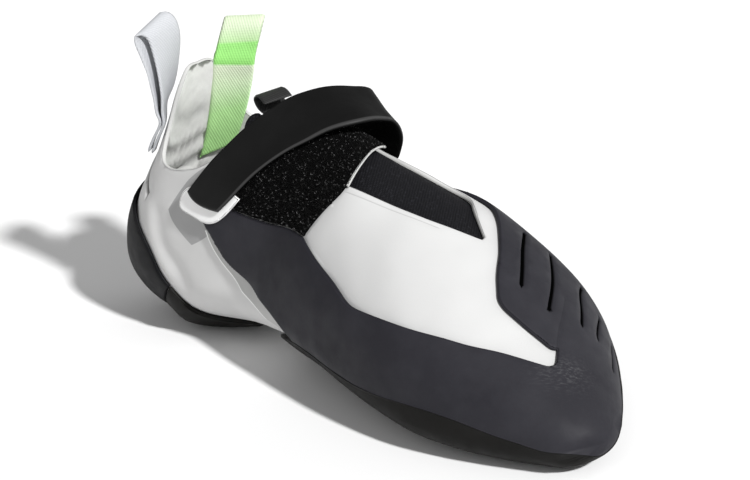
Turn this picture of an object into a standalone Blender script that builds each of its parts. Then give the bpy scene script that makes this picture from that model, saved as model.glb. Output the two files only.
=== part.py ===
"""Climbing shoe for the left foot: a soft, down-turned shoe closed by one strap.

Metres, +Z up, toe towards +X, little-toe side towards +Y, sole on z = 0.

Every piece is cut from one form, the last. The last is a row of sections that
turn from level at the collar to upright at the toe. A place on it is (t, v, d):
t runs from the collar (0) to the toe tip (1), v runs round a section from the
bottom line (-1) by the big-toe side (-0.5), over the instep ridge (0) and the
little-toe side (0.5) back to the bottom line (1), and d is the height above it.
"""
import math

import bpy
import bmesh
import numpy as np
from mathutils import Vector
from mathutils.geometry import delaunay_2d_cdt

# Driving sizes
LAST_LENGTH = 0.2465
BALL_WIDTH = 0.0896
INSTEP_HEIGHT = 0.102
HEEL_HEIGHT = 0.1085
UPPER_INNER = 0.0006
UPPER_WALL = 0.0018
LAYER_GAP = 0.0003
RAND_WALL = 0.0015
PILE_WALL = 0.0018
TAB_WALL = 0.0008
STRAP_WALL = 0.0018
LINER_WALL = 0.0012
INSOLE_WALL = 0.0015
SOLE_EDGE = 0.0044
SOLE_DEPTH = 0.0076
SOLE_BEVEL = 0.011
EDGE_GAP = 0.0002
STRAP_RISE = 0.0115
LOOP_WIDTH = 0.0165
LOOP_WALL = 0.0011
LOOP_FOLD_GAP = 0.0004
LOOP_CLEARANCE = 0.0008
INNER_LOOP_HEIGHT = 0.0413
OUTER_LOOP_HEIGHT = 0.0164
OUTER_LOOP_LEAN = 0.26
TONGUE_LOOP_WIDTH = 0.0115
TONGUE_LOOP_WALL = 0.0008
TONGUE_LOOP_LENGTH = 0.014

UPPER_OUTER = UPPER_INNER + UPPER_WALL
RAND_INNER = UPPER_OUTER + LAYER_GAP
RAND_OUTER = RAND_INNER + RAND_WALL
PILE_OUTER = RAND_INNER + PILE_WALL
TAB_INNER = PILE_OUTER + LAYER_GAP
TAB_OUTER = TAB_INNER + TAB_WALL
STRAP_INNER = TAB_OUTER + LAYER_GAP
LINER_OUTER = UPPER_INNER - LAYER_GAP
LINER_INNER = LINER_OUTER - LINER_WALL
INSOLE_INNER = LINER_OUTER - INSOLE_WALL
LEG_INNER = UPPER_INNER - LOOP_CLEARANCE
LEG_OUTER = UPPER_OUTER + LOOP_CLEARANCE

# Triangulation: rings of free points closer together over the heel and the strap,
# the longest step along an outline, and the least distance of a free point from others
RINGS = (
    0.004, *(0.0625 + 0.0417 * k for k in range(3)), *(0.17 + 0.0235 * k for k in range(11)),
    *(0.4375 + 0.0417 * k for k in range(14)),
)
COLUMNS = 36
EDGE_STEP = 0.0085
NODE_STEP = 0.0046
# How fast the flat map shrinks towards the toe tip, the t taken as the tip and its normal
MAP_RATE = 6.5
TIP_T = 0.999
BESIDE_TIP_T = 0.985
TIP_NORMAL = (0.985, -0.09, 0.145)
SLOPE_STEP = 1e-4

# Sections from the collar to the toe tip: the columns' names, each with the size that
# its values are shares of. The waist is the height of the widest place as a share of the
# section's own height, and the powers say how square its top and its bottom are.
SECTION_COLUMNS = {
    "keel_x": LAST_LENGTH, "keel_z": HEEL_HEIGHT, "ridge_x": LAST_LENGTH,
    "ridge_z": INSTEP_HEIGHT, "keel_y": BALL_WIDTH, "ridge_y": BALL_WIDTH,
    "inner_half": BALL_WIDTH, "outer_half": BALL_WIDTH, "waist": 1.0,
    "top_power": 1.0, "bottom_power": 1.0,
}
SECTIONS = (
    (0.1744, 1.0000, 0.3651, 1.0000, 0.000, 0.000, 0.195, 0.206, 0.50, 2.00, 2.00),
    (0.1440, 0.8525, 0.3773, 0.9804, 0.000, 0.000, 0.229, 0.240, 0.48, 2.00, 2.00),
    (0.0974, 0.6590, 0.3935, 0.9608, 0.000, 0.000, 0.262, 0.273, 0.45, 2.00, 2.00),
    (0.0357, 0.4332, 0.4138, 0.9412, 0.000, 0.000, 0.294, 0.305, 0.40, 2.00, 2.10),
    (0.0134, 0.1982, 0.4361, 0.9186, 0.000, 0.000, 0.308, 0.319, 0.35, 2.00, 2.20),
    (0.0913, 0.0756, 0.4625, 0.8971, 0.000, 0.000, 0.307, 0.319, 0.32, 2.00, 2.30),
    (0.1947, 0.0691, 0.4909, 0.8725, 0.000, 0.000, 0.295, 0.312, 0.30, 2.00, 2.30),
    (0.3002, 0.1060, 0.5254, 0.8392, 0.000, 0.000, 0.304, 0.326, 0.28, 2.00, 2.30),
    (0.4138, 0.1392, 0.5659, 0.8010, 0.000, -0.011, 0.362, 0.376, 0.26, 2.00, 2.50),
    (0.5193, 0.1456, 0.6166, 0.7294, 0.009, 0.000, 0.431, 0.446, 0.24, 2.00, 2.85),
    (0.6268, 0.1200, 0.6775, 0.6549, 0.009, -0.009, 0.488, 0.500, 0.22, 2.00, 3.10),
    (0.7343, 0.0880, 0.7505, 0.5539, 0.000, -0.028, 0.500, 0.493, 0.22, 2.00, 3.10),
    (0.8195, 0.0682, 0.8195, 0.4461, -0.028, -0.056, 0.442, 0.438, 0.24, 2.00, 3.00),
    (0.8864, 0.0618, 0.8763, 0.3451, -0.093, -0.123, 0.338, 0.348, 0.28, 2.00, 2.80),
    (0.9424, 0.0627, 0.9318, 0.2569, -0.162, -0.184, 0.225, 0.239, 0.34, 2.00, 2.60),
    (0.9817, 0.0700, 0.9748, 0.1824, -0.212, -0.223, 0.125, 0.134, 0.42, 2.00, 2.30),
    (1.0000, 0.1051, 1.0000, 0.1118, -0.223, -0.223, 0.000, 0.000, 0.50, 2.00, 2.00),
)

# Outlines on the last as (t, v). HALF tables give t and |v| from the back bottom line to
# the front bottom line and are the same on both sides.
COLLAR_RIM = (
    (0.000, -1.00), (0.000, -0.90), (0.014, -0.85), (0.060, -0.78), (0.105, -0.70),
    (0.135, -0.62), (0.160, -0.50), (0.180, -0.40), (0.165, -0.30), (0.128, -0.20),
    (0.115, -0.07), (0.115, 0.12), (0.130, 0.20), (0.150, 0.30), (0.165, 0.40),
    (0.158, 0.50), (0.132, 0.60), (0.108, 0.67), (0.062, 0.76), (0.016, 0.85),
    (0.000, 0.90), (0.000, 1.00),
)
THROAT = (
    (0.080, -0.050), (0.200, -0.050), (0.320, -0.050), (0.420, -0.060), (0.460, -0.105),
    (0.474, -0.142), (0.4885, -0.1375), (0.538, -0.106), (0.585, -0.072), (0.630, -0.025),
    (0.668, 0.036), (0.666, 0.052), (0.642, 0.085), (0.618, 0.125), (0.600, 0.163),
    (0.582, 0.182), (0.530, 0.170), (0.470, 0.158), (0.380, 0.140), (0.240, 0.120),
    (0.080, 0.110),
)
TONGUE = (
    (0.100, -0.180), (0.100, 0.00), (0.100, 0.17), (0.170, 0.185), (0.300, 0.200),
    (0.420, 0.215), (0.530, 0.235), (0.620, 0.215), (0.665, 0.150), (0.705, 0.060),
    (0.705, 0.010), (0.660, -0.060), (0.590, -0.130), (0.530, -0.195), (0.480, -0.205),
    (0.420, -0.150), (0.300, -0.145), (0.190, -0.210), (0.125, -0.260), (0.088, -0.250),
    (0.070, -0.225), (0.070, -0.198),
)
UNDER_HALF = (
    (0.530, 1.000), (0.536, 0.880), (0.570, 0.825), (0.620, 0.800), (0.700, 0.780),
    (0.790, 0.780), (0.860, 0.790), (0.900, 0.820), (0.924, 0.880), (0.932, 1.000),
)
INSOLE_HALF = (
    (0.305, 1.000), (0.308, 0.880), (0.325, 0.790), (0.365, 0.725), (0.450, 0.710),
    (0.550, 0.710), (0.650, 0.700), (0.750, 0.690), (0.850, 0.700), (0.910, 0.740),
    (0.944, 0.830), (0.955, 1.000),
)
OUTSOLE_HALF = (
    (0.486, 1.000), (0.490, 0.800), (0.503, 0.670), (0.530, 0.618), (0.565, 0.598),
    (0.600, 0.572), (0.635, 0.540), (0.665, 0.510), (0.700, 0.488), (0.757, 0.476),
    (0.810, 0.485), (0.857, 0.500),
    (0.910, 0.520), (0.950, 0.560), (0.968, 0.680), (0.974, 0.840), (0.975, 1.000),
)
HEEL_SOLE_HALF = (
    (0.315, 1.000), (0.315, 0.800), (0.315, 0.600), (0.335, 0.640), (0.355, 0.700),
    (0.378, 0.760), (0.405, 0.815), (0.430, 0.880), (0.438, 1.000),
)
HEEL_RAND_HALF = (
    (0.165, 1.000), (0.168, 0.880), (0.182, 0.770), (0.200, 0.665), (0.222, 0.598),
    (0.246, 0.556), (0.268, 0.548), (0.290, 0.567), (0.315, 0.600), (0.315, 0.800),
    (0.315, 1.000),
)
WING_TOP = (
    (0.284, -0.390), (0.307, -0.330), (0.350, -0.327), (0.392, -0.325), (0.440, -0.318),
    (0.484, -0.312),
)
TOE_TOP = (
    (0.534, -0.332), (0.580, -0.343), (0.607, -0.350), (0.622, -0.342), (0.653, -0.318),
    (0.688, -0.290), (0.722, -0.260), (0.752, -0.232), (0.788, -0.180), (0.826, -0.112),
    (0.843, -0.070), (0.849, -0.035), (0.844, 0.005), (0.835, 0.027), (0.825, -0.007),
    (0.795, -0.045), (0.765, -0.072), (0.747, -0.078), (0.734, -0.066), (0.715, -0.025),
    (0.692, 0.038), (0.676, 0.075), (0.655, 0.122), (0.634, 0.165), (0.611, 0.203),
    (0.588, 0.220), (0.560, 0.245), (0.520, 0.275), (0.470, 0.310), (0.420, 0.335),
    (0.370, 0.345), (0.335, 0.358), (0.316, 0.380),
)
WING_BACK = (
    (0.320, -0.405), (0.361, -0.434), (0.400, -0.458), (0.440, -0.480), (0.475, -0.512),
    (0.505, -0.553),
)
PILE = (
    (0.484, -0.312), (0.489, -0.220), (0.489, -0.140), (0.475, -0.095), (0.461, -0.040),
    (0.450, 0.040), (0.442, 0.105), (0.400, 0.110), (0.310, 0.100), (0.240, 0.060),
    (0.205, -0.020), (0.200, -0.120), (0.208, -0.200), (0.232, -0.270), (0.270, -0.315),
    (0.307, -0.330), (0.350, -0.327), (0.392, -0.325), (0.440, -0.318),
)
TAB = (
    (0.216, -0.372), (0.214, -0.398), (0.222, -0.411), (0.238, -0.414), (0.262, -0.397),
    (0.290, -0.384), (0.303, -0.373), (0.309, -0.355), (0.307, -0.300), (0.280, -0.300),
    (0.240, -0.340),
)
# The strap from its closing end to its sewn end. over_patch is 1 where it lies on the
# patch and its tab and 0 on the bare upper; a rise is a share of STRAP_RISE.
STRAP_COLUMNS = ("over_patch", "ankle_t", "ankle_v", "ankle_rise", "toe_t", "toe_v", "toe_rise")
STRAP = (
    (1.0, 0.221, -0.386, 0.000, 0.298, -0.343, 0.000),
    (1.0, 0.205, -0.360, 0.000, 0.297, -0.305, 0.000),
    (1.0, 0.180, -0.322, 0.000, 0.294, -0.262, 0.000),
    (1.0, 0.158, -0.280, 0.000, 0.293, -0.218, -0.017),
    (1.0, 0.136, -0.235, 0.026, 0.300, -0.172, -0.017),
    (1.0, 0.122, -0.180, 0.052, 0.313, -0.135, 0.000),
    (1.0, 0.118, -0.120, 0.078, 0.332, -0.098, 0.026),
    (1.0, 0.125, -0.060, 0.130, 0.355, -0.055, 0.122),
    (1.0, 0.155, 0.000, 0.252, 0.390, -0.005, 0.270),
    (1.0, 0.200, 0.055, 0.530, 0.408, 0.040, 0.383),
    (1.0, 0.245, 0.092, 0.809, 0.416, 0.075, 0.443),
    (1.0, 0.278, 0.112, 1.000, 0.426, 0.102, 0.513),
    (1.0, 0.292, 0.137, 1.000, 0.440, 0.125, 0.461),
    (0.8, 0.293, 0.164, 0.740, 0.456, 0.148, 0.290),
    (0.5, 0.288, 0.200, 0.350, 0.460, 0.176, 0.096),
    (0.3, 0.298, 0.240, 0.150, 0.456, 0.210, 0.030),
    (0.1, 0.312, 0.274, 0.060, 0.446, 0.244, 0.007),
    (0.0, 0.322, 0.300, 0.017, 0.434, 0.278, 0.017),
)
# The free part of each heel loop: how far out from the shoe and how far up, as shares of
# the loop's height, the band's turn in degrees, and how steeply it dips across.
LOOP_COLUMNS = ("out", "up", "turn", "dip")
INNER_LOOP = (
    (-0.029, 0.109, -4, 0.00), (-0.068, 0.228, -12, 0.02), (-0.102, 0.375, -22, 0.05),
    (-0.123, 0.533, -31, 0.10), (-0.131, 0.690, -40, 0.16), (-0.120, 0.820, -44, 0.23),
    (-0.085, 0.905, -43, 0.30), (-0.030, 0.936, -41, 0.33), (0.020, 0.922, -40, 0.33),
    (0.032, 0.855, -38, 0.30), (0.018, 0.765, -35, 0.24), (0.006, 0.650, -29, 0.17),
    (0.000, 0.510, -21, 0.10), (0.006, 0.360, -14, 0.05), (0.016, 0.228, -7, 0.02),
    (0.028, 0.109, -2, 0.00),
)
OUTER_LOOP = (
    (-0.146, 0.213, -2, 0.00), (-0.177, 0.457, -4, 0.00), (-0.177, 0.701, -6, 0.00),
    (-0.122, 0.902, -7, 0.00), (0.000, 1.000, -7, 0.00), (0.122, 0.902, -7, 0.00),
    (0.177, 0.701, -6, 0.00), (0.177, 0.457, -4, 0.00), (0.146, 0.213, -2, 0.00),
)
# Where the loops' sewn legs lie on the last: the middle's v, and t along each leg
INNER_LOOP_V = -0.79
INNER_LEG_T = (0.130, 0.105, 0.082)
OUTER_LOOP_V = 0.76
OUTER_LEG_IN_T = (0.155, 0.120, 0.085, 0.050, 0.020, 0.002)
OUTER_LEG_OUT_T = (0.002, 0.020, 0.050, 0.085)
# The tongue's loop: how far back from the tongue's edge and how far up, as shares of its
# length, where it starts on the last, and which way it lies.
TONGUE_LOOP = (
    (0.086, 0.029), (0.357, -0.007), (0.643, 0.007), (0.900, 0.086), (1.000, 0.221),
    (0.900, 0.357), (0.657, 0.436), (0.371, 0.421), (0.114, 0.329),
)
TONGUE_LOOP_TV = (0.100, -0.085)
TONGUE_LOOP_BACK = (-0.96, -0.20, -0.08)
# Half the stretch of v that gives the direction across the tongue's edge
TONGUE_SPAN = 0.04
# Points across a strap or a loop
BAND_POINTS = 4


def sections():
    """The section table in metres and the second differences of a natural cubic curve
    through it. One row past the toe tip, turned over, keeps the tip round."""
    rows = np.array(SECTIONS) * np.array(list(SECTION_COLUMNS.values()))
    column = {name: k for k, name in enumerate(SECTION_COLUMNS)}
    rows[-1, column["ridge_z"]] = rows[-1, column["keel_z"]]
    past = rows[-2].copy()
    for axis in ("x", "y", "z"):
        keel, ridge = column["keel_" + axis], column["ridge_" + axis]
        past[[keel, ridge]] = past[[ridge, keel]]
    for side in ("inner_half", "outer_half"):
        past[column[side]] *= -1.0
    rows = np.vstack([rows, past])
    count = len(rows)
    system = np.zeros((count, count))
    target = np.zeros(rows.shape)
    system[0, 0] = 1.0
    system[-1, -1] = 1.0
    for i in range(1, count - 1):
        system[i, i - 1:i + 2] = (1.0, 4.0, 1.0)
        target[i] = 6.0 * (rows[i + 1] - 2.0 * rows[i] + rows[i - 1])
    return rows, np.linalg.solve(system, target)


ROWS, CURVES = sections()
SPANS = len(SECTIONS) - 1


def last(t, v):
    """Points of the last."""
    x = np.asarray(t, float) * SPANS
    i = np.clip(x.astype(int), 0, SPANS)
    f = (x - i)[..., None]
    row = (CURVES[i] * (1 - f) ** 3 + CURVES[i + 1] * f ** 3) / 6
    row = row + (ROWS[i] - CURVES[i] / 6) * (1 - f) + (ROWS[i + 1] - CURVES[i + 1] / 6) * f
    kx, kz, rx, rz, ky, ry, inner, outer, waist, top, bottom = np.moveaxis(row, -1, 0)
    angle = math.pi * np.asarray(v, float)
    c, s = np.cos(angle), np.sin(angle)
    power = 2.0 / np.where(c >= 0, top, bottom)
    rise = np.where(c >= 0, 1 - waist, -waist) * np.abs(c) ** power + waist
    side = np.sign(s) * np.abs(s) ** power * np.where(s < 0, inner, outer)
    x, y, z = kx + (rx - kx) * rise, ky + (ry - ky) * rise + side, kz + (rz - kz) * rise
    return np.stack([x, y, z], -1)


def lift(t, v, d):
    """Points at height d above the last."""
    t = np.asarray(t, float)
    v = np.asarray(v, float)
    tip = t > TIP_T
    tc = np.where(tip, BESIDE_TIP_T, np.clip(t, SLOPE_STEP, 1.0))
    along = last(tc + SLOPE_STEP, v) - last(tc - SLOPE_STEP, v)
    around = last(tc, v + SLOPE_STEP) - last(tc, v - SLOPE_STEP)
    normal = np.cross(along, around)
    normal = normal / np.maximum(np.linalg.norm(normal, axis=-1, keepdims=True), 1e-15)
    normal = np.where(tip[..., None], np.array(TIP_NORMAL), normal)
    return last(t, v) + normal * np.asarray(d, float)[..., None]


def disc(t, v):
    """A flat map of the last: the toe tip at the middle, the collar as the rim."""
    t = np.asarray(t, float)
    radius = np.where(t > TIP_T, 0.0, np.exp(-MAP_RATE * t))
    angle = math.pi * np.asarray(v, float)
    return np.stack([radius * np.cos(angle), radius * np.sin(angle)], -1)


def inside(points, ring):
    """Which flat points lie inside a closed flat ring."""
    hit = np.zeros(len(points), bool)
    x, y = points[:, 0], points[:, 1]
    for a, b in zip(ring, np.roll(ring, -1, axis=0)):
        if a[1] == b[1]:
            continue
        cross = (b[0] - a[0]) * (y - a[1]) / (b[1] - a[1]) + a[0]
        hit ^= ((a[1] > y) != (b[1] > y)) & (x < cross)
    return hit


def spread(points, closed=True):
    """The outline with points added so that no step is longer than EDGE_STEP."""
    points = [np.array(p, float) for p in points]
    pairs = list(zip(points, points[1:] + points[:1])) if closed else list(zip(points, points[1:]))
    out = []
    for a, b in pairs:
        length = np.linalg.norm(last(a[0], a[1]) - last(b[0], b[1]))
        count = max(1, int(math.ceil(length / EDGE_STEP)))
        out += [a + (b - a) * k / count for k in range(count)]
    if not closed:
        out.append(points[-1])
    return np.array(out)


def both_sides(half):
    """A closed outline round the bottom line from one half."""
    one = [(t, -v) for t, v in half]
    other = [(t, v - 2.0) for t, v in half]
    return one + other[::-1][1:-1]


def toe_rand_outline():
    """The toe rand: over the toes, down the little-toe side, and back along the sole's
    edge round the toe tip to the big-toe side."""
    sole = [p for p in OUTSOLE_HALF if p[0] >= WING_BACK[-1][0]]
    ring = list(WING_TOP) + list(TOE_TOP)
    ring += [(t, -v) for t, v in WING_BACK]
    ring += list(sole[:-1])
    ring += [(t, 2.0 - v) for t, v in sole[::-1]]
    ring += [(t, 2.0 + v) for t, v in WING_BACK[::-1]]
    return ring


OUTLINES = {
    "toe_rand": toe_rand_outline(),
    "throat": list(THROAT),
    "tongue": list(TONGUE),
    "under": both_sides(UNDER_HALF),
    "insole": both_sides(INSOLE_HALF),
    "outsole": both_sides(OUTSOLE_HALF),
    "heel_sole": both_sides(HEEL_SOLE_HALF),
    "heel_rand": both_sides(HEEL_RAND_HALF),
    "pile": list(PILE),
    "tab": list(TAB),
}


def shortest(a, b):
    """b with its v moved by whole turns to lie next to a."""
    t, v = b
    while v - a[1] > 1.0:
        v -= 2.0
    while v - a[1] < -1.0:
        v += 2.0
    return (t, v)


def unwrapped(points):
    out = [tuple(points[0])]
    for p in points[1:]:
        out.append(shortest(out[-1], p))
    return out


def ring_points(points):
    """A closed outline as dense (t, v) points."""
    points = unwrapped(points)
    closed = points + [shortest(points[-1], points[0])]
    return spread(closed, closed=False)[:-1]


class Skin:
    """One triangulation of the whole last, shared by every piece cut from it."""

    def __init__(self):
        self.rings = {name: ring_points(p) for name, p in OUTLINES.items()}
        rim = spread(COLLAR_RIM, closed=False)[:-1]
        self.rings["rim"] = rim
        places = []
        keys = {}
        edges = set()
        for ring in self.rings.values():
            ids = []
            for t, v in ring:
                v = (v + 1.0) % 2.0 - 1.0
                key = (round(t, 5), round(v, 5))
                if key not in keys:
                    keys[key] = len(places)
                    places.append((t, v))
                ids.append(keys[key])
            for a, b in zip(ids, ids[1:] + ids[:1]):
                if a != b:
                    edges.add((min(a, b), max(a, b)))
        lines = last(np.array(places)[:, 0], np.array(places)[:, 1])
        kept = [tuple(p) for p in lines]
        for t in RINGS:
            for j in range(COLUMNS):
                v = -1.0 + 2.0 * j / COLUMNS
                place = last(t, v)
                gap = np.linalg.norm(np.array(kept) - place, axis=1).min()
                if gap > NODE_STEP:
                    kept.append(tuple(place))
                    places.append((t, v))
        places.append((1.0, 0.0))
        places = np.array(places)
        flat = disc(places[:, 0], places[:, 1])
        result = delaunay_2d_cdt(
            [Vector(p) for p in flat], list(edges), [], 0, 1e-7, True)
        points, _, faces, origins = result[0], result[1], result[2], result[3]
        table = []
        for point, origin in zip(points, origins):
            if origin:
                table.append(places[origin[0]])
            else:
                radius = math.hypot(point[0], point[1])
                table.append((-math.log(radius) / MAP_RATE, math.atan2(point[1], point[0]) / math.pi))
        self.tv = np.array(table)
        self.flat = disc(self.tv[:, 0], self.tv[:, 1])
        self.faces = np.array([f for f in faces if len(f) == 3])
        self.centres = self.flat[self.faces].mean(axis=1)

    def region(self, name):
        ring = self.rings[name]
        return inside(self.centres, disc(ring[:, 0], ring[:, 1]))


def shell(skin, mask, low, high, pull=0.0, floor=False, middle_high=None, opening=None):
    """A closed plate of the masked triangles between two heights.

    pull draws its edge in, floor keeps its outside above z = 0, middle_high is the height
    away from its edge, and over opening it reaches down through the upper's wall.
    """
    faces = skin.faces[mask]
    used = np.unique(faces)
    index = {int(k): i for i, k in enumerate(used)}
    faces = np.array([[index[int(k)] for k in f] for f in faces])
    tv = skin.tv[used]
    flat = skin.flat[used]
    turn = flat[faces]
    area = np.cross(turn[:, 1] - turn[:, 0], turn[:, 2] - turn[:, 0])
    faces[area > 0] = faces[area > 0][:, ::-1]
    directed = {(int(a), int(b)) for face in faces for a, b in zip(face, np.roll(face, -1))}
    border = [e for e in directed if (e[1], e[0]) not in directed]
    rim = sorted({k for e in border for k in e})
    base = last(tv[:, 0], tv[:, 1])
    depth = np.full(len(tv), low)
    if opening is not None:
        depth[~np.isin(used, skin.faces[~opening])] = UPPER_INNER
    bottom = lift(tv[:, 0], tv[:, 1], depth)
    height = np.full(len(tv), high)
    if middle_high:
        reach = np.linalg.norm(base[:, None] - base[None, rim], axis=2).min(axis=1)
        share = np.clip(reach / SOLE_BEVEL, 0, 1)
        height = high + (middle_high - high) * share * share * (3 - 2 * share)
    top = lift(tv[:, 0], tv[:, 1], height)
    if pull:
        mean = np.zeros(base.shape)
        count = np.zeros(len(base))
        for face in faces:
            middle = base[face].mean(axis=0)
            for k in face:
                mean[k] += middle
                count[k] += 1
        tangent = np.zeros(base.shape)
        for a, b in border:
            tangent[a] += base[b] - base[a]
            tangent[b] += base[b] - base[a]
        for k in rim:
            inward = mean[k] / count[k] - base[k]
            along = tangent[k] / max(np.linalg.norm(tangent[k]), 1e-12)
            inward = inward - along * inward.dot(along)
            inward = inward / max(np.linalg.norm(inward), 1e-12)
            bottom[k] += inward * pull
            top[k] += inward * pull
    if floor:
        top[:, 2] = np.maximum(top[:, 2], 0.0)
    count = len(tv)
    points = np.vstack([bottom, top])
    polygons = [tuple(int(k) for k in f[::-1]) for f in faces]
    polygons += [tuple(int(k) + count for k in f) for f in faces]
    polygons += [(b, a, a + count, b + count) for a, b in border]
    return points, polygons


def ribbon(low, high):
    """A closed strip from two grids of points, its underside and its top."""
    rows, columns = low.shape[:2]
    points = np.vstack([low.reshape(-1, 3), high.reshape(-1, 3)])
    count = rows * columns

    def at(i, j, top):
        return i * columns + j + (count if top else 0)

    polygons = []
    for i in range(rows - 1):
        for j in range(columns - 1):
            polygons.append((at(i, j, 0), at(i + 1, j, 0), at(i + 1, j + 1, 0), at(i, j + 1, 0)))
            polygons.append((at(i, j, 1), at(i, j + 1, 1), at(i + 1, j + 1, 1), at(i + 1, j, 1)))
    for i in range(rows - 1):
        for j in (0, columns - 1):
            a, b = (i, i + 1) if j == 0 else (i + 1, i)
            polygons.append((at(a, j, 0), at(a, j, 1), at(b, j, 1), at(b, j, 0)))
    for j in range(columns - 1):
        for i in (0, rows - 1):
            a, b = (j + 1, j) if i == 0 else (j, j + 1)
            polygons.append((at(i, a, 0), at(i, a, 1), at(i, b, 1), at(i, b, 0)))
    return points, polygons


def strap():
    """The strap as rows of points from edge to edge."""
    rows = {name: [[row[k]] for row in STRAP] for k, name in enumerate(STRAP_COLUMNS)}
    share = np.linspace(0, 1, BAND_POINTS)

    def between(name):
        ankle, toe = np.array(rows["ankle_" + name]), np.array(rows["toe_" + name])
        return ankle + (toe - ankle) * share

    bed = RAND_INNER + (STRAP_INNER - RAND_INNER) * np.array(rows["over_patch"])
    height = bed + between("rise") * STRAP_RISE
    t, v = between("t"), between("v")
    return ribbon(lift(t, v, height), lift(t, v, height + STRAP_WALL))


def leg(middle, ts, d):
    """Rows of points across a loop's sewn leg, LOOP_WIDTH wide on the last."""
    rows = []
    for t in ts:
        pace = np.linalg.norm(last(t, middle + SLOPE_STEP) - last(t, middle - SLOPE_STEP))
        half = LOOP_WIDTH * SLOPE_STEP / pace
        v = middle + np.linspace(-half, half, BAND_POINTS)
        rows.append(lift(np.full(BAND_POINTS, t), v, np.full(BAND_POINTS, d)))
    return np.array(rows)


def free_band(start, across, table, size, lean):
    """Inner and outer rows of the part of a loop that stands free."""
    flat = np.array([across[0], across[1], 0.0])
    flat = flat / np.linalg.norm(flat)
    out = np.array([flat[1], -flat[0], 0.0])
    if out[0] > 0:
        out = -out
    path, wide = [], []
    for far, up, turn, dip in table:
        place = start + out * far * size + np.array([lean, lean, 1.0]) * up * size
        path.append(place)
        c, s = math.cos(math.radians(turn)), math.sin(math.radians(turn))
        wide.append((flat[0] * c - flat[1] * s, flat[0] * s + flat[1] * c, -dip))
    path, wide = np.array(path), np.array(wide)
    wide = wide / np.linalg.norm(wide, axis=1, keepdims=True)
    normal = np.cross(np.gradient(path, axis=0), wide)
    normal = normal / np.linalg.norm(normal, axis=1, keepdims=True)
    # The first point's normal must look into the loop, towards its last point.
    if normal[0].dot(path[-1] - path[0]) < 0:
        normal = -normal
    steps = np.linspace(-0.5, 0.5, BAND_POINTS) * LOOP_WIDTH
    band = path[:, None] + wide[:, None] * steps[None, :, None]
    return band + normal[:, None] * LOOP_WALL / 2, band - normal[:, None] * LOOP_WALL / 2


def inner_heel_loop():
    """The loop by the big-toe side: both legs sewn on the outside of the heel."""
    second = LEG_OUTER + LOOP_WALL + LOOP_FOLD_GAP
    first_out = leg(INNER_LOOP_V, INNER_LEG_T, LEG_OUTER)
    first_in = leg(INNER_LOOP_V, INNER_LEG_T, LEG_OUTER + LOOP_WALL)
    last_in = leg(INNER_LOOP_V, INNER_LEG_T[::-1], second)
    last_out = leg(INNER_LOOP_V, INNER_LEG_T[::-1], second + LOOP_WALL)
    start = (first_out[-1].mean(axis=0) + last_out[0].mean(axis=0)) / 2
    across = first_out[-1][-1] - first_out[-1][0]
    inner, outer = free_band(start, across, INNER_LOOP, INNER_LOOP_HEIGHT, 0.0)
    return ribbon(np.vstack([first_in, inner, last_in]), np.vstack([first_out, outer, last_out]))


def outer_heel_loop():
    """The loop by the little-toe side, astride the collar."""
    first_in = leg(OUTER_LOOP_V, OUTER_LEG_IN_T, LEG_INNER)
    first_out = leg(OUTER_LOOP_V, OUTER_LEG_IN_T, LEG_INNER - LOOP_WALL)
    last_in = leg(OUTER_LOOP_V, OUTER_LEG_OUT_T, LEG_OUTER)
    last_out = leg(OUTER_LOOP_V, OUTER_LEG_OUT_T, LEG_OUTER + LOOP_WALL)
    start = (first_in[-1].mean(axis=0) + last_in[0].mean(axis=0)) / 2
    across = first_in[-1][-1] - first_in[-1][0]
    inner, outer = free_band(start, across, OUTER_LOOP, OUTER_LOOP_HEIGHT, OUTER_LOOP_LEAN)
    return ribbon(np.vstack([first_in, inner, last_in]), np.vstack([first_out, outer, last_out]))


def tongue_loop():
    """The small loop that lies back from the tongue's top edge."""
    t, v = TONGUE_LOOP_TV
    root = lift(np.array(t), np.array(v), np.array(LINER_OUTER - LINER_WALL / 2))
    across = last(t, v + TONGUE_SPAN) - last(t, v - TONGUE_SPAN)
    across = across / np.linalg.norm(across)
    back = np.array(TONGUE_LOOP_BACK)
    back = back - across * back.dot(across)
    back = back / np.linalg.norm(back)
    out = np.cross(back, across)
    if out[2] < 0:
        out = -out
    path = np.array([root + (back * a + out * b) * TONGUE_LOOP_LENGTH for a, b in TONGUE_LOOP])
    normal = np.cross(np.gradient(path, axis=0), across)
    normal = normal / np.linalg.norm(normal, axis=1, keepdims=True)
    steps = np.linspace(-0.5, 0.5, BAND_POINTS) * TONGUE_LOOP_WIDTH
    band = path[:, None] + across[None, None] * steps[None, :, None]
    half = normal[:, None] * TONGUE_LOOP_WALL / 2
    return ribbon(band - half, band + half)


# Colour and roughness of each piece
FINISH = {
    "upper": ((0.80, 0.80, 0.79), 0.62),
    "tongue": ((0.012, 0.012, 0.014), 0.85),
    "insole": ((0.30, 0.30, 0.31), 0.80),
    "outsole": ((0.018, 0.017, 0.016), 0.60),
    "heel_sole": ((0.018, 0.017, 0.016), 0.60),
    "toe_rand": ((0.042, 0.041, 0.044), 0.66),
    "heel_rand": ((0.022, 0.021, 0.021), 0.62),
    "pile_patch": ((0.006, 0.006, 0.006), 0.95),
    "strap_tab": ((0.78, 0.78, 0.78), 0.50),
    "strap": ((0.020, 0.020, 0.020), 0.50),
    "inner_heel_loop": ((0.88, 0.88, 0.90), 0.75),
    "outer_heel_loop": ((0.28, 0.78, 0.22), 0.75),
    "tongue_loop": ((0.010, 0.010, 0.010), 0.75),
}


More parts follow.
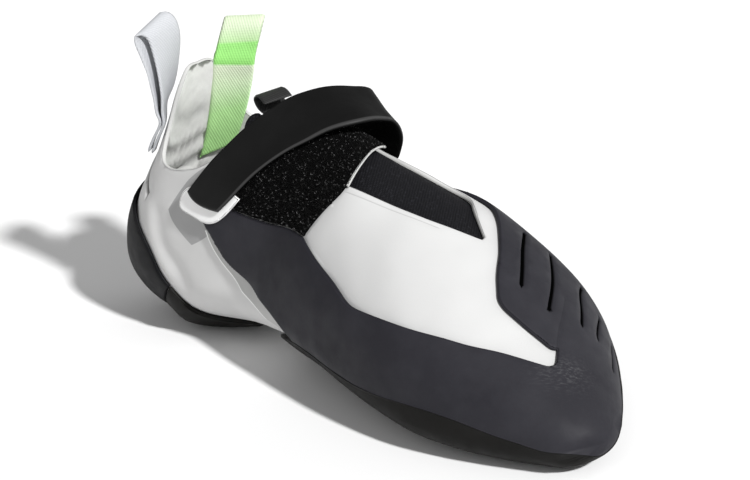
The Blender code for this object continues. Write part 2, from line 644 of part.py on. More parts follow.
def add_object(name, points, polygons, collection):
    mesh = bpy.data.meshes.new(name)
    mesh.from_pydata([tuple(p) for p in points], [], polygons)
    tool = bmesh.new()
    tool.from_mesh(mesh)
    bmesh.ops.recalc_face_normals(tool, faces=tool.faces)
    bmesh.ops.triangulate(tool, faces=tool.faces)
    tool.to_mesh(mesh)
    tool.free()
    for face in mesh.polygons:
        face.use_smooth = True
    colour, rough = FINISH[name]
    material = bpy.data.materials.new(name + "_finish")
    material.use_nodes = True
    principled = material.node_tree.nodes["Principled BSDF"]
    principled.inputs["Base Color"].default_value = (*colour, 1.0)
    principled.inputs["Roughness"].default_value = rough
    material.diffuse_color = (*colour, 1.0)
    mesh.materials.append(material)
    item = bpy.data.objects.new(name, mesh)
    collection.objects.link(item)
    return item


def pieces():
    """Points and polygons of every piece on the last's own axes."""
    skin = Skin()
    within = skin.region("rim")
    throat = skin.region("throat")
    under = skin.region("under")
    out = {}
    out["upper"] = shell(skin, within & ~throat & ~under, UPPER_INNER, UPPER_OUTER)
    out["tongue"] = shell(skin, skin.region("tongue"), LINER_INNER, LINER_OUTER)
    out["insole"] = shell(skin, skin.region("insole"), INSOLE_INNER, LINER_OUTER)
    heights = (RAND_INNER, SOLE_EDGE, EDGE_GAP, True, SOLE_DEPTH)
    out["outsole"] = shell(skin, skin.region("outsole"), *heights, opening=under)
    out["heel_sole"] = shell(skin, skin.region("heel_sole"), *heights)
    out["toe_rand"] = shell(skin, skin.region("toe_rand"), RAND_INNER, RAND_OUTER, EDGE_GAP)
    out["heel_rand"] = shell(skin, skin.region("heel_rand"), RAND_INNER, RAND_OUTER, EDGE_GAP)
    out["pile_patch"] = shell(skin, skin.region("pile"), RAND_INNER, PILE_OUTER, EDGE_GAP)
    out["strap_tab"] = shell(skin, skin.region("tab"), TAB_INNER, TAB_OUTER)
    out["strap"] = strap()
    out["inner_heel_loop"] = inner_heel_loop()
    out["outer_heel_loop"] = outer_heel_loop()
    out["tongue_loop"] = tongue_loop()
    return out


def centre(parts):
    """The shift that brings the middle of the whole to x = y = 0."""
    points = np.vstack([p for p, _ in parts.values()])
    low, high = points.min(axis=0), points.max(axis=0)
    return np.array([-(low[0] + high[0]) / 2, -(low[1] + high[1]) / 2, 0.0])


def main():
    for item in list(bpy.data.objects):
        bpy.data.objects.remove(item, do_unlink=True)
    shoe = bpy.data.collections.new("climbing_shoe")
    bpy.context.scene.collection.children.link(shoe)
    parts = pieces()
    shift = centre(parts)
    for name, (points, polygons) in parts.items():
        add_object(name, points + shift, polygons, shoe)


main()
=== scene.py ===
"""How the climbing shoe looks: the fine surface of each piece, its materials, and the floor,
light and camera.

Every piece is cut from one form, the last, as the shoe's solids are. A place on the last
is (t, v): t runs from the collar (0) to the toe tip (1), and v runs round a section from
the bottom line (-1) by the big-toe side (-0.5), over the instep ridge (0) and the
little-toe side (0.5) back to the bottom line (1). Heights are measured from the last.
"""
import math

import bpy
import numpy as np
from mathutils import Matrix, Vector, kdtree
from mathutils.geometry import delaunay_2d_cdt


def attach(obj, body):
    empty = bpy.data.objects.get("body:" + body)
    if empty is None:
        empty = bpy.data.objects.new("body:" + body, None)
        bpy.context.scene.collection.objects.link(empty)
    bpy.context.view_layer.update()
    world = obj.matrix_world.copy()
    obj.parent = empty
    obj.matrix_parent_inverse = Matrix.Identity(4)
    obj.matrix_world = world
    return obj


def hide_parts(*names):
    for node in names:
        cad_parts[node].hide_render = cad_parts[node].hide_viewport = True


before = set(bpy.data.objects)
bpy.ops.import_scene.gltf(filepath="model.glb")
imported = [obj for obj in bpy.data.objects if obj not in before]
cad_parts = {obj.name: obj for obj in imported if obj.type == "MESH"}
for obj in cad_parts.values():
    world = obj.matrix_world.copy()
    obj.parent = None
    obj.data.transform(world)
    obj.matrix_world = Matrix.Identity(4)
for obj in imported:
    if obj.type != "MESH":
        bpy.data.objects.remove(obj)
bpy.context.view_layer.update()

# Sizes of the shoe, in metres
LAST_LENGTH = 0.2465
BALL_WIDTH = 0.0896
INSTEP_HEIGHT = 0.102
HEEL_HEIGHT = 0.1085
UPPER_INNER = 0.0006
UPPER_OUTER = 0.0024
LAYER_GAP = 0.0003
RAND_INNER = UPPER_OUTER + LAYER_GAP
RAND_OUTER = RAND_INNER + 0.0015
PILE_OUTER = RAND_INNER + 0.0012
TAB_INNER = 0.0048
TAB_OUTER = 0.0057
STRAP_INNER = 0.0059
STRAP_WALL = 0.0018
STRAP_RISE = 0.0115
LINER_OUTER = UPPER_INNER - LAYER_GAP
LINER_INNER = LINER_OUTER - 0.0012
INSOLE_INNER = LINER_OUTER - 0.0015
SOLE_EDGE = 0.0044
SOLE_DEPTH = 0.0076
SOLE_BEVEL = 0.011
EDGE_GAP = 0.0002
LOOP_WIDTH = 0.0165
LOOP_WALL = 0.0011
LOOP_FOLD_GAP = 0.0004
LEG_INNER = UPPER_INNER - 0.0008
LEG_OUTER = UPPER_OUTER + 0.0008
INNER_LOOP_HEIGHT = 0.0413
OUTER_LOOP_HEIGHT = 0.0164
OUTER_LOOP_LEAN = 0.26
TONGUE_LOOP_WIDTH = 0.0115
TONGUE_LOOP_WALL = 0.0008
TONGUE_LOOP_LENGTH = 0.014
# Where the frame's origin lies on the last's own axes
ORIGIN_ON_LAST = np.array([0.12451, -0.00005, 0.0])

# Steps of the fine surface
GRID_STEP = 0.0017
EDGE_STEP = 0.0013
SHOULDERS = (0.0005, 0.0011)
EDGE_FALL = 0.0014
SLOPE_STEP = 1e-4
TIP_T = 0.999
BESIDE_TIP_T = 0.985
TIP_NORMAL = (0.985, -0.09, 0.145)
MAP_RATE = 6.5
WALL_STEPS = 5
LEAST_APART = 0.00035
MOST_ASIDE = 0.02
MOST_DRAWN = 0.6
PILE_GROUND = 0.0009
PILE_ROOT = 0.0007
PILE_LOOPS = 10500
FIBRE_RINGS = 4
FIBRE_HALF = 0.00005
STRAP_ALONG = 110
STRAP_ACROSS = 26
SEED = 7

# Sections from the collar to the toe tip, the columns as shares of the named sizes
SECTION_COLUMNS = {
    "keel_x": LAST_LENGTH, "keel_z": HEEL_HEIGHT, "ridge_x": LAST_LENGTH,
    "ridge_z": INSTEP_HEIGHT, "keel_y": BALL_WIDTH, "ridge_y": BALL_WIDTH,
    "inner_half": BALL_WIDTH, "outer_half": BALL_WIDTH, "waist": 1.0,
    "top_power": 1.0, "bottom_power": 1.0,
}
SECTIONS = (
    (0.1744, 1.0000, 0.3651, 1.0000, 0.000, 0.000, 0.195, 0.206, 0.50, 2.00, 2.00),
    (0.1440, 0.8525, 0.3773, 0.9804, 0.000, 0.000, 0.229, 0.240, 0.48, 2.00, 2.00),
    (0.0974, 0.6590, 0.3935, 0.9608, 0.000, 0.000, 0.262, 0.273, 0.45, 2.00, 2.00),
    (0.0357, 0.4332, 0.4138, 0.9412, 0.000, 0.000, 0.294, 0.305, 0.40, 2.00, 2.10),
    (0.0134, 0.1982, 0.4361, 0.9186, 0.000, 0.000, 0.308, 0.319, 0.35, 2.00, 2.20),
    (0.0913, 0.0756, 0.4625, 0.8971, 0.000, 0.000, 0.307, 0.319, 0.32, 2.00, 2.30),
    (0.1947, 0.0691, 0.4909, 0.8725, 0.000, 0.000, 0.295, 0.312, 0.30, 2.00, 2.30),
    (0.3002, 0.1060, 0.5254, 0.8392, 0.000, 0.000, 0.304, 0.326, 0.28, 2.00, 2.30),
    (0.4138, 0.1392, 0.5659, 0.8010, 0.000, -0.011, 0.362, 0.376, 0.26, 2.00, 2.50),
    (0.5193, 0.1456, 0.6166, 0.7294, 0.009, 0.000, 0.431, 0.446, 0.24, 2.00, 2.85),
    (0.6268, 0.1200, 0.6775, 0.6549, 0.009, -0.009, 0.488, 0.500, 0.22, 2.00, 3.10),
    (0.7343, 0.0880, 0.7505, 0.5539, 0.000, -0.028, 0.500, 0.493, 0.22, 2.00, 3.10),
    (0.8195, 0.0682, 0.8195, 0.4461, -0.028, -0.056, 0.442, 0.438, 0.24, 2.00, 3.00),
    (0.8864, 0.0618, 0.8763, 0.3451, -0.093, -0.123, 0.338, 0.348, 0.28, 2.00, 2.80),
    (0.9424, 0.0627, 0.9318, 0.2569, -0.162, -0.184, 0.225, 0.239, 0.34, 2.00, 2.60),
    (0.9817, 0.0700, 0.9748, 0.1824, -0.212, -0.223, 0.125, 0.134, 0.42, 2.00, 2.30),
    (1.0000, 0.1051, 1.0000, 0.1118, -0.223, -0.223, 0.000, 0.000, 0.50, 2.00, 2.00),
)

# Outlines on the last as (t, v). HALF tables give t and |v| from the back bottom line to
# the front bottom line and are the same on both sides.
COLLAR_RIM = (
    (0.0, -1.0), (0.0, -0.9), (0.014, -0.85), (0.06, -0.78), (0.105, -0.7), (0.135, -0.62),
    (0.16, -0.5), (0.18, -0.4), (0.165, -0.3), (0.128, -0.2), (0.115, -0.07), (0.115, 0.12),
    (0.13, 0.2), (0.15, 0.3), (0.165, 0.4), (0.158, 0.5), (0.132, 0.6), (0.108, 0.67),
    (0.062, 0.76), (0.016, 0.85), (0.0, 0.9), (0.0, 1.0),
)
THROAT = (
    (0.08, -0.05), (0.2, -0.05), (0.32, -0.05), (0.42, -0.06), (0.46, -0.105), (0.474, -0.142),
    (0.4885, -0.1375), (0.538, -0.106), (0.585, -0.072), (0.63, -0.025), (0.668, 0.036),
    (0.666, 0.052), (0.642, 0.085), (0.618, 0.125), (0.6, 0.163), (0.582, 0.182), (0.53, 0.17),
    (0.47, 0.158), (0.38, 0.14), (0.24, 0.12), (0.08, 0.11),
)
THROAT_CORNERS = (
    (0.08, -0.05), (0.474, -0.142), (0.4885, -0.1375), (0.668, 0.036), (0.666, 0.052),
    (0.08, 0.11),
)
TONGUE = (
    (0.1, -0.18), (0.1, 0.0), (0.1, 0.17), (0.17, 0.185), (0.3, 0.2), (0.42, 0.215), (0.53, 0.235),
    (0.62, 0.215), (0.665, 0.15), (0.705, 0.06), (0.705, 0.01), (0.66, -0.06), (0.59, -0.13),
    (0.53, -0.195), (0.48, -0.205), (0.42, -0.15), (0.3, -0.145), (0.19, -0.21), (0.125, -0.26),
    (0.088, -0.25), (0.07, -0.225), (0.07, -0.198),
)
TONGUE_CORNERS = ((0.100, -0.180), (0.100, 0.17))
UNDER_HALF = (
    (0.53, 1.0), (0.536, 0.88), (0.57, 0.825), (0.62, 0.8), (0.7, 0.78), (0.79, 0.78),
    (0.86, 0.79), (0.9, 0.82), (0.924, 0.88), (0.932, 1.0),
)
INSOLE_HALF = (
    (0.305, 1.0), (0.308, 0.88), (0.325, 0.79), (0.365, 0.725), (0.45, 0.71), (0.55, 0.71),
    (0.65, 0.7), (0.75, 0.69), (0.85, 0.7), (0.91, 0.74), (0.944, 0.83), (0.955, 1.0),
)
OUTSOLE_HALF = (
    (0.486, 1.0), (0.49, 0.8), (0.503, 0.67), (0.53, 0.618), (0.565, 0.598), (0.6, 0.572),
    (0.635, 0.54), (0.665, 0.51), (0.7, 0.488), (0.757, 0.476), (0.81, 0.485), (0.857, 0.5),
    (0.91, 0.52), (0.95, 0.56), (0.968, 0.68), (0.974, 0.84), (0.975, 1.0),
)
HEEL_FRONT = (
    (0.315, 0.6), (0.335, 0.64), (0.355, 0.7), (0.378, 0.76), (0.405, 0.815), (0.43, 0.88),
    (0.438, 1.0),
)
HEEL_SEAM = ((0.315, 1.000), (0.315, 0.800), (0.315, 0.600))
HEEL_TOP = (
    (0.165, 1.0), (0.168, 0.88), (0.182, 0.77), (0.2, 0.665), (0.222, 0.598), (0.246, 0.556),
    (0.268, 0.548), (0.29, 0.567), (0.315, 0.6),
)
# The toe rand's top edge in stretches between its corners
WING_TIP = ((0.284, -0.390), (0.307, -0.330))
WING_TOP = (
    (0.307, -0.33), (0.35, -0.327), (0.392, -0.325), (0.44, -0.318), (0.484, -0.312),
)
WINDOW_LOW = (
    (0.484, -0.312), (0.534, -0.332), (0.58, -0.343), (0.607, -0.35), (0.622, -0.342),
    (0.653, -0.318), (0.688, -0.29), (0.722, -0.26), (0.752, -0.232), (0.788, -0.18),
    (0.826, -0.112), (0.841, -0.078), (0.848, -0.055), (0.85, -0.03), (0.843, 0.005),
    (0.835, 0.027),
)
WINDOW_FRONT = (
    (0.835, 0.027), (0.832, 0.01), (0.822, -0.01), (0.795, -0.045), (0.765, -0.072),
    (0.75, -0.079), (0.738, -0.073), (0.73, -0.058), (0.715, -0.025), (0.692, 0.038),
    (0.676, 0.075), (0.655, 0.122), (0.634, 0.165), (0.611, 0.203), (0.588, 0.22), (0.56, 0.245),
    (0.52, 0.275), (0.47, 0.31), (0.42, 0.335), (0.37, 0.345), (0.335, 0.358), (0.316, 0.38),
)
WING_BACK = (
    (0.32, -0.405), (0.361, -0.434), (0.4, -0.458), (0.44, -0.48), (0.475, -0.512),
    (0.505, -0.553),
)
PILE_FRONT = (
    (0.484, -0.312), (0.489, -0.22), (0.489, -0.14), (0.475, -0.095), (0.461, -0.04), (0.45, 0.04),
    (0.442, 0.105),
)
PILE_BACK = (
    (0.442, 0.105), (0.4, 0.11), (0.31, 0.1), (0.24, 0.06), (0.205, -0.02), (0.2, -0.12),
    (0.208, -0.2), (0.232, -0.27), (0.27, -0.315), (0.307, -0.33),
)
TAB = (
    (0.216, -0.372), (0.214, -0.398), (0.222, -0.411), (0.238, -0.414), (0.262, -0.397),
    (0.29, -0.384), (0.303, -0.373), (0.309, -0.355), (0.307, -0.3), (0.28, -0.3), (0.24, -0.34),
)
TAB_CORNERS = ((0.307, -0.300), (0.280, -0.300), (0.240, -0.340), (0.216, -0.372))
# Where the vamp's leather ends and the quarter's begins, the darker panel on the quarter,
# and the strip behind the wing, which is painted darker as the shade in its fold
VAMP_BACK = (
    (-0.01, -0.12), (0.12, -0.2), (0.21, -0.26), (0.3, -0.35), (0.4, -0.42), (0.52, -0.56),
    (0.54, -1.0), (0.52, -1.44), (0.42, -1.58), (0.33, -1.67), (0.23, -1.76), (0.12, -1.8),
    (-0.01, -1.82),
)
GREY_PANEL = (
    (0.197, -0.41), (0.212, -0.436), (0.228, -0.462), (0.25, -0.453), (0.277, -0.447),
    (0.3, -0.447), (0.307, -0.42), (0.3, -0.36), (0.262, -0.33), (0.2, -0.34),
)
GREY_CORNERS = ((0.197, -0.410), (0.228, -0.462), (0.300, -0.447))
STRIP_LINE = (
    (0.3, -0.402), (0.33, -0.424), (0.353, -0.44), (0.376, -0.457), (0.415, -0.49), (0.457, -0.55),
    (0.484, -0.61),
)
STRIP_FRONT = (
    STRIP_LINE[-1], (0.520, -0.640), (0.520, -0.540), (0.450, -0.455), (0.376, -0.425),
    STRIP_LINE[0],
)
# Width of the pale line painted along the strip's crest, a painted highlight
CREST_HIGHLIGHT_WIDTH = 0.0008

# The upper's pale lip between pile and knit: its back and its front edge
LIP_BACK = (
    (0.489, -0.143), (0.477, -0.097), (0.465, -0.049), (0.453, 0.001), (0.446, 0.051),
    (0.44, 0.106),
)
LIP_FRONT = (
    (0.444, 0.11), (0.45, 0.052), (0.457, 0.002), (0.469, -0.048), (0.481, -0.095),
    (0.493, -0.141),
)

# The strap from its closing end to its sewn end; rises are shares of STRAP_RISE
STRAP_COLUMNS = ("over_patch", "ankle_t", "ankle_v", "ankle_rise", "toe_t", "toe_v", "toe_rise")
STRAP = (
    (1.0, 0.221, -0.386, 0.000, 0.298, -0.343, 0.000),
    (1.0, 0.205, -0.360, 0.000, 0.297, -0.305, 0.000),
    (1.0, 0.180, -0.322, 0.000, 0.294, -0.262, 0.000),
    (1.0, 0.158, -0.280, 0.000, 0.293, -0.218, -0.017),
    (1.0, 0.136, -0.235, 0.026, 0.300, -0.172, -0.017),
    (1.0, 0.122, -0.180, 0.052, 0.313, -0.135, 0.000),
    (1.0, 0.118, -0.120, 0.078, 0.332, -0.098, 0.026),
    (1.0, 0.125, -0.060, 0.130, 0.355, -0.055, 0.122),
    (1.0, 0.155, 0.000, 0.252, 0.390, -0.005, 0.270),
    (1.0, 0.200, 0.055, 0.530, 0.408, 0.040, 0.383),
    (1.0, 0.245, 0.092, 0.809, 0.416, 0.075, 0.443),
    (1.0, 0.278, 0.112, 1.000, 0.426, 0.102, 0.513),
    (1.0, 0.292, 0.137, 1.000, 0.440, 0.125, 0.461),
    (0.8, 0.293, 0.164, 0.740, 0.456, 0.148, 0.290),
    (0.5, 0.288, 0.200, 0.350, 0.460, 0.176, 0.096),
    (0.3, 0.298, 0.240, 0.150, 0.456, 0.210, 0.030),
    (0.1, 0.312, 0.274, 0.060, 0.446, 0.244, 0.007),
    (0.0, 0.322, 0.300, 0.017, 0.434, 0.278, 0.017),
)
# The free part of each heel loop: out and up as shares of its height, its turn, and how
# steeply it dips across
INNER_LOOP = (
    (-0.029, 0.109, -4, 0.00), (-0.068, 0.228, -12, 0.02), (-0.102, 0.375, -22, 0.05),
    (-0.123, 0.533, -31, 0.10), (-0.131, 0.690, -40, 0.16), (-0.120, 0.820, -44, 0.23),
    (-0.085, 0.905, -43, 0.30), (-0.030, 0.936, -41, 0.33), (0.020, 0.922, -40, 0.33),
    (0.032, 0.855, -38, 0.30), (0.018, 0.765, -35, 0.24), (0.006, 0.650, -29, 0.17),
    (0.000, 0.510, -21, 0.10), (0.006, 0.360, -14, 0.05), (0.016, 0.228, -7, 0.02),
    (0.028, 0.109, -2, 0.00),
)
OUTER_LOOP = (
    (-0.146, 0.213, -2, 0.00), (-0.177, 0.457, -4, 0.00), (-0.177, 0.701, -6, 0.00),
    (-0.122, 0.902, -7, 0.00), (0.000, 1.000, -7, 0.00), (0.122, 0.902, -7, 0.00),
    (0.177, 0.701, -6, 0.00), (0.177, 0.457, -4, 0.00), (0.146, 0.213, -2, 0.00),
)
INNER_LOOP_V = -0.79
INNER_LEG_T = (0.130, 0.105, 0.082)
OUTER_LOOP_V = 0.76
OUTER_LEG_IN_T = (0.155, 0.120, 0.085, 0.050, 0.020, 0.002)
OUTER_LEG_OUT_T = (0.002, 0.020, 0.050, 0.085)
TONGUE_LOOP = (
    (0.086, 0.029), (0.357, -0.007), (0.643, 0.007), (0.9, 0.086), (1.0, 0.221), (0.9, 0.357),
    (0.657, 0.436), (0.371, 0.421), (0.114, 0.329),
)
# The green loop's colour along its tape, from its leg inside the collar; the pale stops from
# 0.036 to 0.0475 are painted light, where the crest is washed out
GREEN_TONES = (
    (0.0000, (0.52, 0.95, 0.36)), (0.0240, (0.56, 0.95, 0.40)), (0.0360, (0.74, 0.95, 0.60)),
    (0.0455, (0.86, 0.96, 0.72)), (0.0475, (0.82, 0.96, 0.68)), (0.0480, (0.30, 0.72, 0.18)),
    (0.0570, (0.32, 0.74, 0.20)), (0.0580, (0.48, 0.70, 0.36)), (0.0640, (0.58, 0.66, 0.48)),
    (0.1100, (0.58, 0.66, 0.48)),
)
TONGUE_LOOP_TV = (0.100, -0.085)
TONGUE_LOOP_BACK = (-0.96, -0.20, -0.08)

# The slits of the toe rand: points on the last and half width
SLITS = (
    (((0.668, 0.205), (0.676, 0.180), (0.700, 0.112), (0.722, 0.060), (0.741, 0.015)), 0.0011),
    (((0.701, 0.235), (0.707, 0.220), (0.736, 0.160), (0.760, 0.112), (0.780, 0.070)), 0.0010),
    (((0.745, 0.290), (0.757, 0.260), (0.785, 0.228), (0.811, 0.200)), 0.0010),
    (((0.784, 0.345), (0.797, 0.322), (0.811, 0.300), (0.824, 0.284)), 0.0008),
    (((0.812, 0.425), (0.826, 0.405), (0.850, 0.388), (0.868, 0.375)), 0.0007),
)
SLIT_DEPTH = 0.0013
HEEL_SLOT_DEPTH = 0.0014
CREST_RISE = 0.0002
STITCH_DEPTH = 0.00015
SEAM_DEPTH = 0.00018
DIMPLE_SIZE = 0.0007
DIMPLE_RISE = 0.0004
WORN_SPOT = ((0.860, -0.040), (0.868, -0.010), (0.872, 0.020))
WORN_SIZE = 0.0065
WORN_SHARE = 0.5
PATCH_SEAM = ((0.772, 0.155), (0.800, 0.100), (0.820, 0.055), (0.834, 0.026))
HEEL_SLOT = ((0.120, -0.790), (0.146, -0.735), (0.168, -0.660), (0.190, -0.590))
STITCHES = ((0.494, -0.156), (0.538, -0.126), (0.586, -0.090), (0.634, -0.041))
# Soft creases: points, half width and height, which is below zero for a trough
CREASES = (
    (((0.225, -0.500), (0.242, -0.495), (0.261, -0.500), (0.284, -0.505), (0.311, -0.520),
      (0.330, -0.560)), 0.0042, -0.0009),
    (((0.210, -0.545), (0.240, -0.525), (0.275, -0.530), (0.305, -0.555)), 0.0030, 0.0005),
    (((0.100, -0.860), (0.130, -0.760), (0.160, -0.660), (0.190, -0.580)), 0.0028, -0.0006),
    (((0.150, -0.900), (0.180, -0.780), (0.205, -0.650)), 0.0030, -0.0005),
    (((0.340, -0.600), (0.370, -0.560), (0.400, -0.560), (0.430, -0.600)), 0.0050, 0.0005),
)
LINING_CREASES = (
    (((0.100, -0.830), (0.118, -0.900), (0.121, -0.980), (0.118, 0.930), (0.112, 0.860)),
     0.0012, 0.0010),
    (((0.110, -0.800), (0.131, -0.900), (0.136, -0.990), (0.132, 0.920), (0.124, 0.840)),
     0.0013, -0.0012),
    (((0.125, -0.800), (0.146, -0.900), (0.150, 0.990), (0.147, 0.900), (0.138, 0.820)),
     0.0013, 0.0011),
    (((0.135, -0.760), (0.158, -0.900), (0.166, 0.980), (0.161, 0.880), (0.150, 0.800)),
     0.0014, -0.0012),
    (((0.150, -0.740), (0.172, -0.900), (0.180, 0.980), (0.172, 0.870), (0.165, 0.790)),
     0.0013, 0.0010),
    (((0.060, -0.830), (0.085, -0.930), (0.090, 0.990), (0.082, 0.900)), 0.0030, -0.0004),
)
# The strength of the painted shade in the lining's troughs
FOLD_SHADE = 0.5
# Painted shade on the low part of the lining: points, half width and its strength
LINING_LOW_SHADE = (((0.130, -0.850), (0.152, -0.930), (0.158, 0.990), (0.152, 0.880)), 0.0100, 0.30)

# Camera: angles in degrees, and lengths in metres on the last's own axes
CAMERA_AZIMUTH = 45.078
CAMERA_ELEVATION = 22.089
CAMERA_ROLL = -5.795
CAMERA_DISTANCE = 0.740
CAMERA_LENS = 94.16
CAMERA_TARGET = (0.12493, 0.00510, 0.04899)

# Light: name, where it stands, how wide it is in degrees, and strength
WORLD_LIGHT = 0.26
FLOOR_HALF = 3.0
FLOOR_DROP = 0.0002
LIGHTS = (
    ("key", (0.775, -0.128, 0.620), 4.0, 4.2),
    ("fill", (0.10, -0.90, 0.42), 80.0, 0.5),
    ("rim", (0.40, 0.85, 0.34), 60.0, 0.7),
)


def unit(vectors):
    """The vectors, each at length one."""
    return vectors / np.maximum(np.linalg.norm(vectors, axis=-1, keepdims=True), 1e-15)


def run_of(places):
    """How far along the row each place lies."""
    return np.concatenate([[0], np.cumsum(np.linalg.norm(np.diff(places, axis=0), axis=1))])


def tree_of(places):
    """A search tree over the places."""
    tree = kdtree.KDTree(len(places))
    for k, place in enumerate(places):
        tree.insert(place, k)
    tree.balance()
    return tree


def curve_rows(rows):
    """The second differences of a natural cubic curve through the rows."""
    count = len(rows)
    system = np.zeros((count, count))
    target = np.zeros(rows.shape)
    system[0, 0] = 1.0
    system[-1, -1] = 1.0
    for i in range(1, count - 1):
        system[i, i - 1:i + 2] = (1.0, 4.0, 1.0)
        target[i] = 6.0 * (rows[i + 1] - 2.0 * rows[i] + rows[i - 1])
    return np.linalg.solve(system, target)


def sections():
    """The section table in metres, with one turned row past the toe tip."""
    rows = np.array(SECTIONS) * np.array(list(SECTION_COLUMNS.values()))
    column = {name: k for k, name in enumerate(SECTION_COLUMNS)}
    rows[-1, column["ridge_z"]] = rows[-1, column["keel_z"]]
    past = rows[-2].copy()
    for axis in ("x", "y", "z"):
        keel, ridge = column["keel_" + axis], column["ridge_" + axis]
        past[[keel, ridge]] = past[[ridge, keel]]
    for side in ("inner_half", "outer_half"):
        past[column[side]] *= -1.0
    rows = np.vstack([rows, past])
    return rows, curve_rows(rows)


ROWS, CURVES = sections()
SPANS = len(SECTIONS) - 1


def last(t, v):
    """Points of the last, in the frame."""
    x = np.asarray(t, float) * SPANS
    i = np.clip(x.astype(int), 0, SPANS)
    f = (x - i)[..., None]
    row = (CURVES[i] * (1 - f) ** 3 + CURVES[i + 1] * f ** 3) / 6
    row = row + (ROWS[i] - CURVES[i] / 6) * (1 - f) + (ROWS[i + 1] - CURVES[i + 1] / 6) * f
    kx, kz, rx, rz, ky, ry, inner, outer, waist, top, bottom = np.moveaxis(row, -1, 0)
    angle = math.pi * np.asarray(v, float)
    c, s = np.cos(angle), np.sin(angle)
    power = 2.0 / np.where(c >= 0, top, bottom)
    rise = np.where(c >= 0, 1 - waist, -waist) * np.abs(c) ** power + waist
    side = np.sign(s) * np.abs(s) ** power * np.where(s < 0, inner, outer)
    x, y, z = kx + (rx - kx) * rise, ky + (ry - ky) * rise + side, kz + (rz - kz) * rise
    return np.stack([x, y, z], -1) - ORIGIN_ON_LAST


def normals(t, v):
    """Unit normals of the last, pointing out."""
    t = np.asarray(t, float)
    tip = t > TIP_T
    tc = np.where(tip, BESIDE_TIP_T, np.clip(t, SLOPE_STEP, 1.0))
    along = last(tc + SLOPE_STEP, v) - last(tc - SLOPE_STEP, v)
    around = last(tc, v + SLOPE_STEP) - last(tc, v - SLOPE_STEP)
    return np.where(tip[..., None], np.array(TIP_NORMAL), unit(np.cross(along, around)))


def lift(t, v, d):
    """Points at height d above the last."""
    v = np.asarray(v, float)
    return last(t, v) + normals(t, v) * np.asarray(d, float)[..., None]


def disc(t, v):
    """A flat map of the last: the toe tip at the middle, the collar as the rim."""
    t = np.asarray(t, float)
    radius = np.where(t > TIP_T, 0.0, np.exp(-MAP_RATE * t))
    angle = math.pi * np.asarray(v, float)
    return np.stack([radius * np.cos(angle), radius * np.sin(angle)], -1)


def inside(points, ring):
    """Which flat points lie inside a closed flat ring."""
    hit = np.zeros(len(points), bool)
    low, high = ring.min(axis=0), ring.max(axis=0)
    near = np.where(((points >= low) & (points <= high)).all(axis=1))[0]
    x, y = points[near, 0], points[near, 1]
    odd = np.zeros(len(near), bool)
    for a, b in zip(ring, np.roll(ring, -1, axis=0)):
        if a[1] == b[1]:
            continue
        cross = (b[0] - a[0]) * (y - a[1]) / (b[1] - a[1]) + a[0]
        odd ^= ((a[1] > y) != (b[1] > y)) & (x < cross)
    hit[near] = odd
    return hit


def natural(knots, values, places):
    """A natural cubic curve through values at knots, read at places."""
    knots, values = np.asarray(knots, float), np.asarray(values, float)
    gaps = np.diff(knots)
    count = len(knots)
    system = np.zeros((count, count))
    target = np.zeros(values.shape)
    system[0, 0] = 1.0
    system[-1, -1] = 1.0
    slopes = np.diff(values, axis=0) / gaps[:, None]
    for i in range(1, count - 1):
        system[i, i - 1:i + 2] = (gaps[i - 1], 2 * (gaps[i - 1] + gaps[i]), gaps[i])
        target[i] = 6.0 * (slopes[i] - slopes[i - 1])
    bend = np.linalg.solve(system, target)
    i = np.clip(np.searchsorted(knots, places, side="right") - 1, 0, count - 2)
    h = gaps[i][:, None]
    a = ((knots[i + 1] - places)[:, None]) / h
    b = 1.0 - a
    return (a * values[i] + b * values[i + 1]
            + ((a ** 3 - a) * bend[i] + (b ** 3 - b) * bend[i + 1]) * h * h / 6)


def turned(points):
    """The points with whole turns taken off v, so that each lies next to the one before."""
    out = [np.array(points[0], float)]
    for point in points[1:]:
        point = np.array(point, float)
        point[1] += 2.0 * round((out[-1][1] - point[1]) / 2.0)
        out.append(point)
    return np.array(out)


def arc(points, step=EDGE_STEP):
    """A smooth line on the last through the points, without its last point."""
    points = turned(points)
    knots = run_of(last(points[:, 0], points[:, 1]))
    count = max(1, int(math.ceil(knots[-1] / step)))
    wanted = np.linspace(0, knots[-1], count + 1)[:-1]
    if len(points) == 2:
        share = (wanted / knots[-1])[:, None]
        return points[0] * (1 - share) + points[1] * share
    return natural(knots, points, wanted)


def loop(points, corners):
    """A closed outline through the points, smooth except at the corners."""
    first = points.index(corners[0])
    points = points[first:] + points[:first] + (points[first],)
    breaks = [k for k, p in enumerate(points) if p in corners]
    return np.vstack([arc(points[a:b + 1]) for a, b in zip(breaks, breaks[1:])])


def closed(*stretches):
    """A closed outline from stretches that meet at corners."""
    return np.vstack([arc(s) for s in stretches])


def both_sides(half):
    """A closed outline round the bottom line from one half."""
    far = arc(half)
    return np.vstack([far * (1, -1), half[-1], far[:0:-1]])


def sole_edge(start_t):
    """The sole's edge on the little-toe side from start_t to the front bottom line."""
    half = arc(OUTSOLE_HALF)
    return half[np.argmax(half[:, 0] >= start_t):]


def toe_rand_outline():
    """Over the toes, down the little-toe side and round the toe along the sole's edge."""
    edge = sole_edge(0.530)
    near = edge[::-1] * (1, -1)
    top = [arc(WING_TIP), arc(WING_TOP), arc(WINDOW_LOW), arc(WINDOW_FRONT)]
    far_back = [WINDOW_FRONT[-1]] + [(t, -v) for t, v in WING_BACK] + [tuple(edge[0])]
    near_back = [(edge[0][0], -edge[0][1])] + list(WING_BACK[::-1]) + [WING_TIP[0]]
    front = [(OUTSOLE_HALF[-1][0], 1.0)]
    return np.vstack([*top, arc(far_back), edge, front, near, arc(near_back)[1:]])


